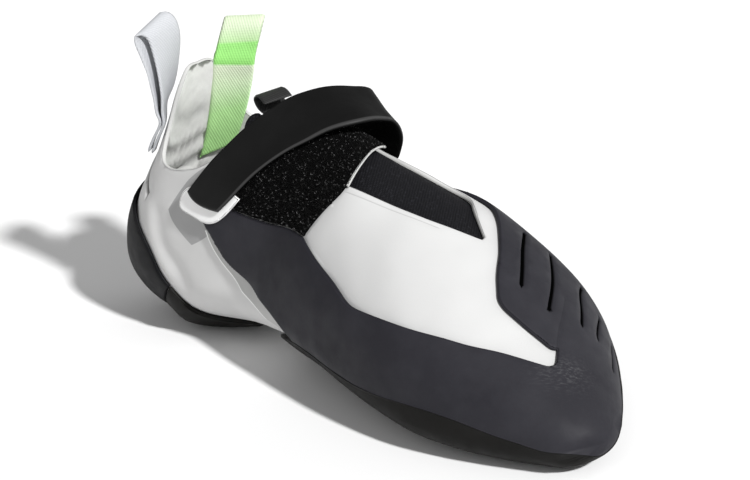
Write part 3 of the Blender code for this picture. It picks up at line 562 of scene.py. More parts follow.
def beside(line, offset):
    """The line moved sideways on the last by offset metres."""
    t, v = line[:, 0], line[:, 1]
    low, high = np.clip(t - SLOPE_STEP, 0.0, 1.0), np.clip(t + SLOPE_STEP, 0.0, 1.0)
    along = (last(high, v) - last(low, v)) / np.maximum(high - low, 1e-9)[:, None]
    around = (last(t, v + SLOPE_STEP) - last(t, v - SLOPE_STEP)) / (2 * SLOPE_STEP)
    side = unit(np.cross(normals(t, v), np.gradient(last(t, v), axis=0))) * offset
    aa, bb = (along * along).sum(1), (around * around).sum(1)
    ab = (along * around).sum(1)
    sa, sb = (side * along).sum(1), (side * around).sum(1)
    scale = np.maximum(aa * bb - ab * ab, 1e-18)
    moved = np.stack([(sa * bb - sb * ab) / scale, (sb * aa - sa * ab) / scale], -1)
    return line + np.clip(moved, -MOST_ASIDE, MOST_ASIDE)


CREST_LINE = arc(STRIP_LINE)
OUTLINES = {
    "rim": arc(COLLAR_RIM),
    "throat": loop(THROAT, THROAT_CORNERS),
    "tongue": loop(TONGUE, TONGUE_CORNERS),
    "under": both_sides(UNDER_HALF),
    "insole": both_sides(INSOLE_HALF),
    "outsole": both_sides(OUTSOLE_HALF),
    "heel_sole": closed([(t, -v) for t, v in HEEL_SEAM], [(t, -v) for t, v in HEEL_FRONT],
                        HEEL_FRONT[::-1], HEEL_SEAM[::-1]),
    "heel_rand": closed([(t, -v) for t, v in HEEL_TOP], [(t, -v) for t, v in HEEL_SEAM[::-1]],
                        HEEL_SEAM, HEEL_TOP[::-1]),
    "toe_rand": toe_rand_outline(),
    "pile": closed(WING_TOP[::-1], PILE_BACK[::-1], PILE_FRONT[::-1]),
    "tab": loop(TAB, TAB_CORNERS),
    "lip": closed(LIP_BACK, (LIP_BACK[-1], LIP_FRONT[0]), LIP_FRONT, (LIP_FRONT[-1], LIP_BACK[0])),
    "vamp": closed(VAMP_BACK, (VAMP_BACK[-1], (VAMP_BACK[0][0], VAMP_BACK[0][1] - 2.0))),
    "grey_panel": loop(GREY_PANEL, GREY_CORNERS),
    "strip": closed(STRIP_LINE, STRIP_FRONT[:2], STRIP_FRONT[1:3], STRIP_FRONT[2:]),
    # A pale line painted along the strip's crest, a painted highlight
    "painted_crest_highlight": np.vstack([CREST_LINE, beside(CREST_LINE, -CREST_HIGHLIGHT_WIDTH)[::-1]]),
}
LINES = {
    "slits": [(arc(points, 0.0009), half) for points, half in SLITS],
    "patch_seam": [(arc(PATCH_SEAM, 0.0010), 0.0006)],
    "heel_slot": [(arc(HEEL_SLOT, 0.0010), 0.0013)],
    "strip_line": [(CREST_LINE, 0.0008)],
    "stitches": [(arc(STITCHES, 0.0010), 0.0004)],
}


class Skin:
    """One fine triangulation of the whole last, shared by every piece cut from it."""

    def __init__(self):
        places, keys, edges = [], {}, set()

        def add_line(line, whole):
            ids = []
            for t, v in line:
                v = (v + 1.0) % 2.0 - 1.0
                key = (round(t, 5), round(v, 5))
                if key not in keys:
                    keys[key] = len(places)
                    places.append((t, v))
                ids.append(keys[key])
            pairs = list(zip(ids, ids[1:]))
            if whole:
                pairs.append((ids[-1], ids[0]))
            edges.update((min(p), max(p)) for p in pairs if p[0] != p[1])

        for ring in OUTLINES.values():
            add_line(ring, True)
        for group in LINES.values():
            for line, _ in group:
                add_line(line, False)
        fixed = tree_of(last(*np.array(places).T))
        shoulders = []
        for ring in OUTLINES.values():
            for side in SHOULDERS:
                shoulders.append((beside(ring, -side), 0.8 * side))
                shoulders.append((beside(ring, side), 0.8 * side))
        for group in LINES.values():
            for line, half in group:
                for side in (-half, half):
                    shoulders.append((beside(line, side), 0.6 * half))
        extra = []
        for line, least in shoulders:
            for (t, v), place in zip(line, last(np.clip(line[:, 0], 0, 0.998), line[:, 1])):
                if 0.0 < t < 0.995 and fixed.find(place)[2] > least:
                    extra.append((t, (v + 1.0) % 2.0 - 1.0))
        cells = {}
        size = GRID_STEP * 0.8

        def taken(place, reach):
            base = tuple(int(math.floor(c / size)) for c in place)
            for i in (-1, 0, 1):
                for j in (-1, 0, 1):
                    for k in (-1, 0, 1):
                        for other in cells.get((base[0] + i, base[1] + j, base[2] + k), ()):
                            gap = sum((a - b) ** 2 for a, b in zip(place, other))
                            if gap < reach * reach:
                                return True
            return False

        def keep(place):
            base = tuple(int(math.floor(c / size)) for c in place)
            cells.setdefault(base, []).append(tuple(place))

        for place in last(*np.array(places).T):
            keep(place)
        for tv, place in zip(extra, last(*np.array(extra).T)):
            if not taken(place, LEAST_APART):
                places.append(tv)
                keep(place)
        grid = self.grid()
        for tv, place in zip(grid, last(*grid.T)):
            if not taken(place, size):
                places.append(tuple(tv))
                keep(place)
        places.append((1.0, 0.0))
        places = np.array(places)
        flat = disc(places[:, 0], places[:, 1])
        result = delaunay_2d_cdt([Vector(p) for p in flat], list(edges), [], 0, 1e-8, True)
        table = np.zeros((len(result[0]), 2))
        became = {}
        for k, (point, origin) in enumerate(zip(result[0], result[3])):
            if origin:
                table[k] = places[origin[0]]
                became.update((source, k) for source in origin)
            else:
                radius = math.hypot(point[0], point[1])
                table[k] = (-math.log(radius) / MAP_RATE, math.atan2(point[1], point[0]) / math.pi)
        self.members = {}
        for name, ring in OUTLINES.items():
            wanted = [(round(t, 5), round((v + 1.0) % 2.0 - 1.0, 5)) for t, v in ring]
            self.members[name] = [became[keys[key]] for key in wanted if keys.get(key) in became]
        self.tv = table
        self.flat = disc(table[:, 0], table[:, 1])
        self.faces = np.array([f for f in result[2] if len(f) == 3])
        turn = self.flat[self.faces]
        area = np.cross(turn[:, 1] - turn[:, 0], turn[:, 2] - turn[:, 0])
        self.faces[area > 0] = self.faces[area > 0][:, ::-1]
        self.centres = self.flat[self.faces].mean(axis=1)
        self.base = last(table[:, 0], table[:, 1])
        self.normal = normals(table[:, 0], table[:, 1])

    @staticmethod
    def grid():
        """Candidate points about GRID_STEP apart along the bottom line."""
        step = GRID_STEP * 0.9
        fine = np.linspace(0.003, 0.992, 1500)
        path = np.linalg.norm(np.diff(last(fine, np.ones(1500)), axis=0), axis=1)
        path = np.concatenate([[0], np.cumsum(np.maximum(path, 1.2e-4))])
        ts = np.interp(np.arange(0, path[-1], step), path, fine)
        out = []
        for k, t in enumerate(ts):
            vs = np.linspace(-1, 1, 240, endpoint=False)
            ring = last(np.full(240, t), vs)
            around = np.linalg.norm(ring - np.roll(ring, 1, axis=0), axis=1).sum()
            count = max(8, int(around / step))
            share = (np.arange(count) + 0.5 * (k % 2)) / count
            out.append(np.stack([np.full(count, t), -1 + 2 * share], -1))
        return np.vstack(out)

    def region(self, name):
        """Which triangles lie inside an outline."""
        ring = OUTLINES[name]
        return inside(self.centres, disc(ring[:, 0], ring[:, 1]))

    def reach(self, line):
        """Each point's distance from a line on the last."""
        tree = tree_of(last(line[:, 0], line[:, 1]))
        return np.array([tree.find(p)[2] for p in self.base])


def swell(skin, points, half, height):
    """A soft ridge or trough along a line, as heights for every point of the skin."""
    near = skin.reach(arc(points, 0.0012))
    return height * np.exp(-(near / half) ** 2)


def cut(skin, group, depth):
    """Grooves along a group of lines, deepest on the line."""
    out = np.zeros(len(skin.base))
    for line, half in LINES[group]:
        near = skin.reach(line)
        share = np.clip(1.0 - near / half, 0, 1)
        out = np.minimum(out, -depth * share ** 0.7)
    return out


def noise(places, size, seed):
    """Smooth noise from a few dozen waves, between about -1 and 1."""
    rng = np.random.default_rng(seed)
    total = np.zeros(len(places))
    for _ in range(24):
        way = rng.normal(size=3)
        way = way / np.linalg.norm(way) * (2 * math.pi / size) * rng.uniform(0.6, 1.6)
        total += np.sin(places @ way + rng.uniform(0, 2 * math.pi))
    return total / math.sqrt(24)


def make_mesh(name, points, faces, kinds, materials, uv=None):
    """A mesh object that rides on the shoe."""
    mesh = bpy.data.meshes.new(name)
    mesh.from_pydata([tuple(p) for p in points], [], faces)
    for material in materials:
        mesh.materials.append(material)
    if kinds is not None:
        mesh.polygons.foreach_set("material_index", np.asarray(kinds, np.int32))
    mesh.polygons.foreach_set("use_smooth", np.ones(len(mesh.polygons), bool))
    if uv is not None:
        layer = mesh.uv_layers.new(name="metres")
        corners = np.zeros(len(mesh.loops), np.int32)
        mesh.loops.foreach_get("vertex_index", corners)
        layer.data.foreach_set("uv", np.asarray(uv)[corners].astype(np.float32).ravel())
    mesh.update()
    item = bpy.data.objects.new(name, mesh)
    bpy.context.scene.collection.objects.link(item)
    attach(item, "root")
    return item


def shell(skin, mask, low, high, bulge=0.5, drop=0.0002, pull=0.0, floor=False, butt=()):
    """Points and faces of a plate of the masked triangles between two heights.

    bulge rounds its edge, drop lowers the top there, and pull draws the edge in. Along the
    outlines named in butt the edge is flat and meets its neighbour. The faces come in the
    order below, top and edge. The last result is each point's place in the skin.
    """
    faces = skin.faces[mask]
    used, flat_index = np.unique(faces, return_inverse=True)
    faces = flat_index.reshape(-1, 3)
    count = len(used)
    base, normal = skin.base[used], skin.normal[used]
    low = np.broadcast_to(low, (len(skin.base),))[used].copy()
    high = np.broadcast_to(high, (len(skin.base),))[used].copy()
    pairs = np.vstack([faces[:, [0, 1]], faces[:, [1, 2]], faces[:, [2, 0]]])
    thirds = np.concatenate([faces[:, 2], faces[:, 0], faces[:, 1]])
    code = pairs[:, 0].astype(np.int64) * count + pairs[:, 1]
    back = pairs[:, 1].astype(np.int64) * count + pairs[:, 0]
    edge = ~np.isin(code, back)
    border, third = pairs[edge], thirds[edge]
    inward = np.zeros((count, 3))
    way = base[border[:, 1]] - base[border[:, 0]]
    to_third = base[third] - (base[border[:, 0]] + base[border[:, 1]]) / 2
    way = unit(way)
    to_third = unit(to_third - way * (to_third * way).sum(1, keepdims=True))
    for column in (0, 1):
        np.add.at(inward, border[:, column], to_third)
    rim = np.unique(border)
    inward[rim] = unit(inward[rim])
    soft = np.ones(len(rim))
    for name in butt:
        soft[np.isin(used[rim], skin.members[name])] = 0.0
    fall = tree_of(base[rim])
    for k, place in enumerate(base):
        _, near, gap = fall.find(place)
        if gap < EDGE_FALL:
            high[k] -= drop * soft[near] * (1 - gap / EDGE_FALL) ** 2
    thick = high[rim] - low[rim]
    draw = np.zeros(count)
    draw[rim] = (pull + thick * 0.5 * min(bulge, MOST_DRAWN)) * soft
    bottom = base + normal * low[:, None] + inward * draw[:, None]
    top = base + normal * high[:, None] + inward * draw[:, None]
    walls = []
    for k in range(1, WALL_STEPS):
        angle = math.pi * (k / WALL_STEPS - 0.5)
        share = (1 + math.sin(angle)) / 2
        out = math.cos(angle) * thick * 0.5 * bulge * soft
        walls.append(bottom[rim] + (top[rim] - bottom[rim]) * share - inward[rim] * out[:, None])
    points = np.vstack([bottom, top, *walls])
    if floor:
        points[count:, 2] = np.maximum(points[count:, 2], 0.0)
    place = np.full(count, -1)
    place[rim] = np.arange(len(rim))
    rows = [border]
    rows += [place[border] + 2 * count + k * len(rim) for k in range(WALL_STEPS - 1)]
    rows += [border + count]
    polygons = [tuple(f) for f in faces[:, ::-1].tolist()]
    polygons += [tuple(f) for f in (faces + count).tolist()]
    for lower, upper in zip(rows, rows[1:]):
        quads = np.stack([lower[:, 1], lower[:, 0], upper[:, 0], upper[:, 1]], -1)
        polygons += [tuple(q) for q in quads.tolist()]
    return points, polygons, np.concatenate([used, used, *[used[rim]] * (WALL_STEPS - 1)])


def band(middle, wide, normal, half_width, half_wall, columns=14):
    """A strap with round edges, as points, faces, their kinds and places in metres.

    middle and wide hold one row each of a place and a direction, or middle holds whole
    rows of points from edge to edge, and wide is then None. The kind of a face is 0 above
    and 1 below.
    """
    share = np.sin(np.linspace(-0.5, 0.5, columns) * math.pi)
    share = share * 0.35 + np.linspace(-1, 1, columns) * 0.65
    if wide is not None:
        rows = middle[:, None] + wide[:, None] * (share * half_width)[None, :, None]
        lift_by = np.repeat(normal[:, None], columns, axis=1)
    else:
        rows, lift_by = middle, normal
    count = len(rows)
    width = np.linalg.norm(rows[:, -1] - rows[:, 0], axis=1)
    length = run_of(rows.mean(axis=1))
    across = np.abs(share) if wide is not None else np.abs(np.linspace(-1, 1, columns))
    edge = (1 - across)[None] * width[:, None] / 2
    roundness = np.sqrt(np.clip(1 - (1 - np.clip(edge / half_wall, 0, 1)) ** 2, 0, 1))
    ends = np.minimum(length, length[-1] - length)[:, None]
    roundness = roundness * np.sqrt(np.clip(1 - (1 - np.clip(ends / half_wall, 0, 1)) ** 2, 0, 1))
    rise = lift_by * (roundness * half_wall)[..., None]
    top, bottom = rows + rise, rows - rise
    index = np.arange(count * columns).reshape(count, columns)
    points = [top.reshape(-1, 3)]
    inner = np.ones((count, columns), bool)
    inner[[0, -1]] = False
    inner[:, [0, -1]] = False
    under = index.copy()
    under[inner] = count * columns + np.arange(inner.sum())
    points.append(bottom[inner])
    faces, kinds = [], []
    for i in range(count - 1):
        for j in range(columns - 1):
            faces.append((index[i, j], index[i + 1, j], index[i + 1, j + 1], index[i, j + 1]))
            faces.append((under[i, j], under[i, j + 1], under[i + 1, j + 1], under[i + 1, j]))
            kinds += [0, 1]
    flat = np.stack(np.broadcast_arrays(length[:, None], share[None] * width[:, None] / 2), -1)
    if wide is None:
        flat = np.stack(np.broadcast_arrays(
            length[:, None], np.linspace(-1, 1, columns)[None] * width[:, None] / 2), -1)
    uv = np.vstack([flat.reshape(-1, 2), flat[inner]])
    return np.vstack(points), [tuple(int(k) for k in f) for f in faces], kinds, uv


class Nodes:
    """A material's node tree, with short calls to add and join nodes."""

    def __init__(self, name, colour, rough):
        self.material = bpy.data.materials.new(name)
        self.material.use_nodes = True
        self.tree = self.material.node_tree
        self.shader = self.tree.nodes["Principled BSDF"]
        self.set(self.shader, {"Base Color": (*colour, 1.0), "Roughness": rough})
        self.material.diffuse_color = (*colour, 1.0)
        self.coords = self.tree.nodes.new("ShaderNodeTexCoord")

    def set(self, node, values):
        for key, value in values.items():
            if isinstance(value, bpy.types.NodeSocket):
                self.tree.links.new(value, node.inputs[key])
            else:
                node.inputs[key].default_value = value

    def add(self, kind, values=None, out=0, **settings):
        node = self.tree.nodes.new("ShaderNode" + kind)
        for key, value in settings.items():
            setattr(node, key, value)
        self.set(node, values or {})
        return node.outputs[out]

    def metres(self):
        """Places on the shoe."""
        return self.coords.outputs["Object"]

    def sheet(self):
        """Places along and across the cloth."""
        return self.coords.outputs["UV"]

    def scaled(self, vector, scale, turn=0.0):
        return self.add("Mapping", {
            "Vector": vector, "Scale": scale, "Rotation": (0.0, 0.0, math.radians(turn))})

    def noise(self, scale, detail=3.0, vector=None, rough=0.5):
        return self.add("TexNoise", {
            "Vector": vector or self.metres(), "Scale": scale, "Detail": detail,
            "Roughness": rough})

    def ramp(self, factor, stops):
        node = self.tree.nodes.new("ShaderNodeValToRGB")
        self.set(node, {"Fac": factor})
        while len(node.color_ramp.elements) < len(stops):
            node.color_ramp.elements.new(0.5)
        for element, (place, colour) in zip(node.color_ramp.elements, stops):
            element.position = place
            grey = colour if isinstance(colour, tuple) else (colour,) * 3
            element.color = (*grey, 1.0)
        return node.outputs[0]

    def mix(self, factor, a, b, blend="MIX"):
        node = self.tree.nodes.new("ShaderNodeMix")
        node.data_type = "RGBA"
        node.blend_type = blend
        self.set(node, {0: factor})
        for socket, value in ((node.inputs[6], a), (node.inputs[7], b)):
            if isinstance(value, bpy.types.NodeSocket):
                self.tree.links.new(value, socket)
            else:
                socket.default_value = (*value, 1.0)
        return node.outputs[2]

    def painted_light_and_shade(self):
        """How strongly a point is painted, from 0 to 1, as painted on the mesh: painted shade in
        grooves and folds, and a painted highlight near one edge of the strap.
        """
        return self.add("Attribute", out=2, attribute_name="painted_light_and_shade")

    def sum(self, a, b, operation="ADD"):
        return self.add("Math", {0: a, 1: b}, operation=operation)

    def colour(self, socket):
        self.tree.links.new(socket, self.shader.inputs["Base Color"])

    def rough(self, socket):
        self.tree.links.new(socket, self.shader.inputs["Roughness"])

    def bump(self, height, strength, distance):
        node = self.tree.nodes.new("ShaderNodeBump")
        self.set(node, {"Strength": strength, "Distance": distance, "Height": height})
        self.tree.links.new(node.outputs[0], self.shader.inputs["Normal"])


def microfibre(name, colour, shade, rough=0.58):
    """Fine-grained microfibre that drifts a little between two tones, with painted shade in
    grooves.
    """
    n = Nodes(name, colour, rough)
    drift = n.ramp(n.noise(38.0, 3.0), ((0.32, shade), (0.62, colour)))
    painted_shade_colour = tuple(0.10 * c for c in shade)
    # Painted shade: the colour turns near black where the mesh is painted, in the heel slot and the
    # stitch grooves
    n.colour(n.mix(n.ramp(n.painted_light_and_shade(), ((0.05, 0.0), (0.7, 1.0))), drift, painted_shade_colour))
    n.set(n.shader, {"Specular IOR Level": 0.3})
    grain = n.add("TexVoronoi", {"Vector": n.metres(), "Scale": 1900.0}, out=0)
    fine = n.noise(4200.0, 2.0)
    n.rough(n.ramp(n.noise(260.0, 3.0), ((0.3, rough - 0.06), (0.7, rough + 0.06))))
    n.bump(n.sum(grain, fine), 0.16, 0.00012)
    return n.material


def rubber(name, colour, dusty, rough, shine=0.25):
    """Matte rubber with faint dust, a fine moulded grain and painted shade in its grooves."""
    n = Nodes(name, colour, rough)
    cloud = n.noise(46.0, 5.0, rough=0.6)
    speck = n.noise(1500.0, 3.0)
    dust = n.ramp(cloud, ((0.42, colour), (0.72, dusty)))
    tone = n.mix(n.ramp(speck, ((0.55, 0.0), (0.85, 0.35))), dust, dusty)
    level = n.scaled(n.metres(), (1.0, 1.0, 1.0), -43.0)
    streaks = n.noise(1.0, 3.0, n.scaled(level, (330.0, 1100.0, 1500.0)), 0.6)
    worn = n.sum(n.add("Attribute", out=2, attribute_name="dust"),
                 n.ramp(streaks, ((0.48, 0.0), (0.75, 1.0))), "MULTIPLY")
    tone = n.mix(worn, tone, (0.12, 0.12, 0.125))
    # Painted shade in the slits and the patch seam: near black there, and without reflection
    n.colour(n.mix(n.ramp(n.painted_light_and_shade(), ((0.05, 0.0), (0.50, 1.0))), tone, (0.001, 0.001, 0.001)))
    n.rough(n.ramp(n.noise(120.0, 4.0), ((0.3, rough - 0.07), (0.7, rough + 0.08))))
    n.set(n.shader, {"Specular IOR Level": n.ramp(n.painted_light_and_shade(), ((0.05, shine), (0.50, 0.0)))})
    n.bump(n.sum(speck, n.noise(300.0, 3.0)), 0.18, 0.00016)
    return n.material


def knit():
    """Black stretch knit with small staggered stitches."""
    n = Nodes("stretch_knit", (0.012, 0.012, 0.014), 0.78)
    rows = n.add("TexWave", {"Vector": n.scaled(n.sheet(), (1.0, 1.0, 1.0), 35.0), "Scale": 420.0,
                             "Distortion": 1.5}, out=1, wave_type="BANDS")
    cross = n.add("TexWave", {"Vector": n.scaled(n.sheet(), (1.0, 1.0, 1.0), -55.0), "Scale": 330.0,
                              "Distortion": 1.5}, out=1, wave_type="BANDS")
    stitch = n.sum(rows, cross, "MULTIPLY")
    tone = n.ramp(stitch, ((0.1, (0.003, 0.003, 0.004)), (0.75, (0.009, 0.009, 0.011))))
    n.colour(n.mix(n.ramp(n.noise(1100.0), ((0.55, 0.0), (0.8, 0.6))), tone, (0.035, 0.035, 0.042)))
    n.set(n.shader, {"Specular IOR Level": 0.12})
    n.bump(stitch, 0.5, 0.0003)
    return n.material


def webbing(name, colour, shade, tones=()):
    """Twill webbing with fine slanted ribs; tones are places along the tape, in metres,
    and colours there."""
    n = Nodes(name, colour, 0.7)
    rib = n.add("TexWave", {"Vector": n.scaled(n.sheet(), (1.0, 1.0, 1.0), 62.0), "Scale": 330.0,
                            "Distortion": 0.3}, out=1, wave_type="BANDS")
    weft = n.add("TexWave", {"Vector": n.sheet(), "Scale": 300.0}, out=1, wave_type="BANDS")
    tone = n.ramp(rib, ((0.15, shade), (0.7, colour)))
    if tones:
        length = tones[-1][0]
        along = n.add("SeparateXYZ", {0: n.sheet()})
        place = n.sum(along, 1.0 / length, "MULTIPLY")
        # Colour along the tape; on the green loop its pale stretch is painted light
        tape_colour = n.ramp(place, [(where / length, stop_colour) for where, stop_colour in tones])
        tone = n.mix(n.ramp(rib, ((0.15, 0.10), (0.7, 0.0))), tape_colour, shade)
    n.colour(tone)
    folds = n.noise(90.0, 3.0, n.scaled(n.metres(), (1.0, 1.0, 0.45)), 0.6)
    twill = n.sum(rib, n.sum(weft, 0.4, "MULTIPLY"))
    n.bump(n.sum(twill, n.sum(folds, 9.0 if tones else 2.0, "MULTIPLY")), 0.35, 0.0003)
    return n.material


def strap_leather():
    """Smooth black synthetic with a pale line painted near one edge, a painted highlight."""
    n = Nodes("strap_synthetic", (0.004, 0.004, 0.004), 0.46)
    tone = n.ramp(n.noise(60.0, 3.0), ((0.3, 0.003), (0.7, 0.005)))
    # Painted highlight: paler where the mesh is painted near the strap's edge
    n.colour(n.mix(n.ramp(n.painted_light_and_shade(), ((0.3, 0.0), (0.9, 1.0))), tone, (0.035, 0.035, 0.035)))
    n.set(n.shader, {"Specular IOR Level": 0.12})
    grain = n.add("TexVoronoi", {"Vector": n.metres(), "Scale": 1500.0})
    n.rough(n.ramp(n.noise(300.0, 3.0), ((0.3, 0.42), (0.7, 0.54))))
    n.bump(grain, 0.12, 0.0001)
    return n.material


def pile_fibre():
    """Black fibre, with a few loops painted pale as painted glints."""
    n = Nodes("loop_pile", (0.010, 0.010, 0.011), 0.42)
    shade = n.add("Attribute", out=2, attribute_name="fibre")
    # Painted glints: the loops with the highest share are painted pale
    n.colour(n.ramp(shade, ((0.0, 0.001), (0.84, 0.003), (0.92, 0.025), (1.0, 0.24))))
    n.set(n.shader, {"Specular IOR Level": 0.12})
    return n.material


def pile_ground():
    """The dull cloth under the pile."""
    n = Nodes("pile_ground", (0.005, 0.005, 0.005), 0.95)
    n.colour(n.ramp(n.noise(1400.0), ((0.4, 0.001), (0.8, 0.004))))
    n.set(n.shader, {"Specular IOR Level": 0.05})
    n.bump(n.noise(1600.0), 0.8, 0.0006)
    return n.material


def brushed(name, colour, shade):
    """Brushed lining cloth, with painted shade in its folds."""
    n = Nodes(name, colour, 0.85)
    cloth = n.ramp(n.noise(180.0, 4.0), ((0.35, shade), (0.65, colour)))
    painted_shade_colour = tuple(0.30 * c for c in shade)
    # Painted shade in the lining's troughs and on its low part
    n.colour(n.mix(n.ramp(n.painted_light_and_shade(), ((0.0, 0.0), (1.0, 1.0))), cloth, painted_shade_colour))
    n.set(n.shader, {"Sheen Weight": 0.25, "Sheen Roughness": 0.5})
    n.bump(n.sum(n.noise(2600.0, 2.0), n.noise(700.0, 3.0)), 0.3, 0.0003)
    return n.material


WHITE = microfibre("microfibre_white", (0.53, 0.53, 0.527), (0.515, 0.515, 0.512))
GREY = microfibre("microfibre_grey", (0.57, 0.568, 0.563), (0.52, 0.518, 0.514), 0.50)
DARK_GREY = microfibre("microfibre_dark", (0.33, 0.33, 0.33), (0.30, 0.30, 0.30), 0.50)
# The strip's grey is painted darker than the quarter, as the shade in its fold
STRIP_MATERIAL = microfibre("pale_strip", (0.44, 0.44, 0.43), (0.37, 0.37, 0.365), 0.42)
LINING = brushed("lining", (0.84, 0.84, 0.82), (0.74, 0.74, 0.72))
CUT_EDGE = microfibre("cut_edge", (0.50, 0.50, 0.49), (0.46, 0.46, 0.45), 0.6)
TAB_MATERIAL = microfibre("end_tab", (0.80, 0.80, 0.795), (0.76, 0.76, 0.755), 0.5)
RAND = rubber("rand_rubber", (0.0150, 0.0145, 0.0190), (0.0230, 0.0225, 0.0280), 0.62, 0.20)
HEEL_RAND = rubber("heel_rubber", (0.005, 0.005, 0.0058), (0.010, 0.010, 0.0108), 0.55, 0.08)
SOLE = rubber("sole_rubber", (0.009, 0.0086, 0.008), (0.014, 0.0136, 0.013), 0.60, 0.08)


def upper(skin):
    """The hollow upper, with its panels, lining, creases, slot and rolled collar."""
    mask = skin.region("rim") & ~skin.region("throat") & ~skin.region("under")
    outer = np.full(len(skin.base), UPPER_OUTER)
    inner = np.full(len(skin.base), UPPER_INNER)
    for points, half, height in CREASES:
        outer += swell(skin, points, half, height)
    for points, half, height in LINING_CREASES:
        inner -= swell(skin, points, half, height)
    covered = skin.region("toe_rand") | skin.region("pile") | skin.region("heel_rand")
    covered |= skin.region("outsole") | skin.region("heel_sole")
    hidden = np.zeros(len(skin.base), bool)
    hidden[np.unique(skin.faces[covered])] = True
    outer += np.where(hidden, 0.0, 0.00012 * noise(skin.base, 0.018, SEED))
    outer += cut(skin, "heel_slot", HEEL_SLOT_DEPTH) - cut(skin, "strip_line", CREST_RISE)
    outer += cut(skin, "stitches", STITCH_DEPTH)
    outer[hidden] = np.minimum(outer[hidden], UPPER_OUTER)
    points, faces, order = shell(skin, mask, inner, outer, bulge=0.4, drop=0.0003)
    materials = [WHITE, LINING, CUT_EDGE, GREY, DARK_GREY, STRIP_MATERIAL, TAB_MATERIAL]
    kind = np.where(skin.region("vamp"), materials.index(WHITE), materials.index(GREY))
    # The strip takes painted fold shade, and the line along its crest a painted highlight in the
    # tab's pale material
    panels = {"grey_panel": DARK_GREY, "strip": STRIP_MATERIAL, "painted_crest_highlight": TAB_MATERIAL}
    for name, material in panels.items():
        kind[skin.region(name)] = materials.index(material)
    count = mask.sum()
    lining = np.full(count, materials.index(LINING))
    edge = np.full(len(faces) - 2 * count, materials.index(CUT_EDGE))
    slots = np.concatenate([lining, kind[mask], edge])
    item = make_mesh("upper_shell", points, faces, slots, materials)
    # Painted shade outside: strongest in the heel slot, a quarter as strong in the stitch grooves
    groove_shade = -cut(skin, "heel_slot", 1.0) - 0.25 * cut(skin, "stitches", 1.0)
    # Painted shade inside: the lining's troughs and its low part
    folds = np.zeros(len(skin.base))
    for points, half, height in LINING_CREASES:
        folds += swell(skin, points, half, FOLD_SHADE if height < 0 else 0.0)
    folds += swell(skin, *LINING_LOW_SHADE)
    below = len(np.unique(skin.faces[mask]))
    # The outside points take the slot and stitch shade, the lining points the painted fold shade
    marks = groove_shade[order]
    marks[:below] = folds[order[:below]]
    paint(item, "painted_light_and_shade", marks)
    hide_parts("upper")


def tongue(skin):
    """The stretch knit, with its stitches laid across and down the instep."""
    mask = skin.region("tongue")
    points, faces, _ = shell(skin, mask, LINER_INNER, LINER_OUTER, bulge=1.0, drop=0.0)
    across = unit(last(0.55, 0.15) - last(0.55, -0.15))
    down = unit(last(0.65, 0.0) - last(0.45, 0.0))
    uv = np.stack([points @ across, points @ down], -1)
    item = make_mesh("tongue_knit", points, faces, None, [knit()], uv)
    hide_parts("tongue")


def paint(item, name, values):
    """A value for each of the piece's points, which its material reads."""
    layer = item.data.attributes.new(name, "FLOAT", "POINT")
    layer.data.foreach_set("value", np.asarray(values, np.float32))


def plate(skin, name, region, low, high, material, node, slot, marks=None, **options):
    """A piece cut from the skin by one outline, with marks painted on it."""
    points, faces, order = shell(skin, skin.region(region), low, high, **options)
    item = make_mesh(name, points, faces, None, [material])
    for mark, values in (marks or {}).items():
        paint(item, mark, values[order])
    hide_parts(node)


def sole_height(skin, region):
    """The sole's outside: a round bevel from its edge to its full depth."""
    share = np.clip(skin.reach(OUTLINES[region]) / SOLE_BEVEL, 0, 1)
    return SOLE_EDGE + (SOLE_DEPTH - SOLE_EDGE) * share * share * (3 - 2 * share)


def rubbers(skin):
    """The soles, the rands and the inner sole."""
    under = np.zeros(len(skin.base), bool)
    under[np.unique(skin.faces[skin.region("under")])] = True
    under[np.unique(skin.faces[~skin.region("under")])] = False
    sole_low = np.where(under, UPPER_INNER, RAND_INNER)
    options = {"pull": EDGE_GAP, "bulge": 0.5}
    plate(skin, "outsole_rubber", "outsole", sole_low, sole_height(skin, "outsole"), SOLE,
          "outsole", "sole_rubber", floor=True, drop=0.0004, butt=["toe_rand"], **options)
    plate(skin, "heel_sole_rubber", "heel_sole", RAND_INNER, sole_height(skin, "heel_sole"),
          SOLE, "heel_sole", "sole_rubber", floor=True, drop=0.0004, **options)
    slit, seam = cut(skin, "slits", 1.0), cut(skin, "patch_seam", 1.0)
    rand_top = RAND_OUTER + 0.00008 * noise(skin.base, 0.022, SEED + 1)
    rand_top = rand_top + slit * SLIT_DEPTH + seam * SEAM_DEPTH
    for line, _ in LINES["slits"]:
        rand_top = rand_top + DIMPLE_RISE * np.exp(-(skin.reach(line[-1:]) / DIMPLE_SIZE) ** 2)
    dust = WORN_SHARE * np.exp(-(skin.reach(np.array(WORN_SPOT)) / WORN_SIZE) ** 2)
    # Painted shade in the slits and, fainter, in the patch seam; the dust spot is wear at the toe
    marks = {"painted_light_and_shade": -slit - 0.12 * seam, "dust": dust}
    plate(skin, "toe_rand_rubber", "toe_rand", RAND_INNER, rand_top, RAND, "toe_rand",
          "rand_rubber", drop=0.0004, butt=["outsole"], marks=marks, **options)
    plate(skin, "heel_rand_rubber", "heel_rand", RAND_INNER,
          RAND_OUTER + 0.00008 * noise(skin.base, 0.02, SEED + 2), HEEL_RAND, "heel_rand",
          "rand_rubber", drop=0.0004, **options)
    plate(skin, "insole_cloth", "insole", INSOLE_INNER, LINER_OUTER,
          brushed("inner_sole", (0.30, 0.30, 0.31), (0.24, 0.24, 0.25)), "insole", "inner_sole")


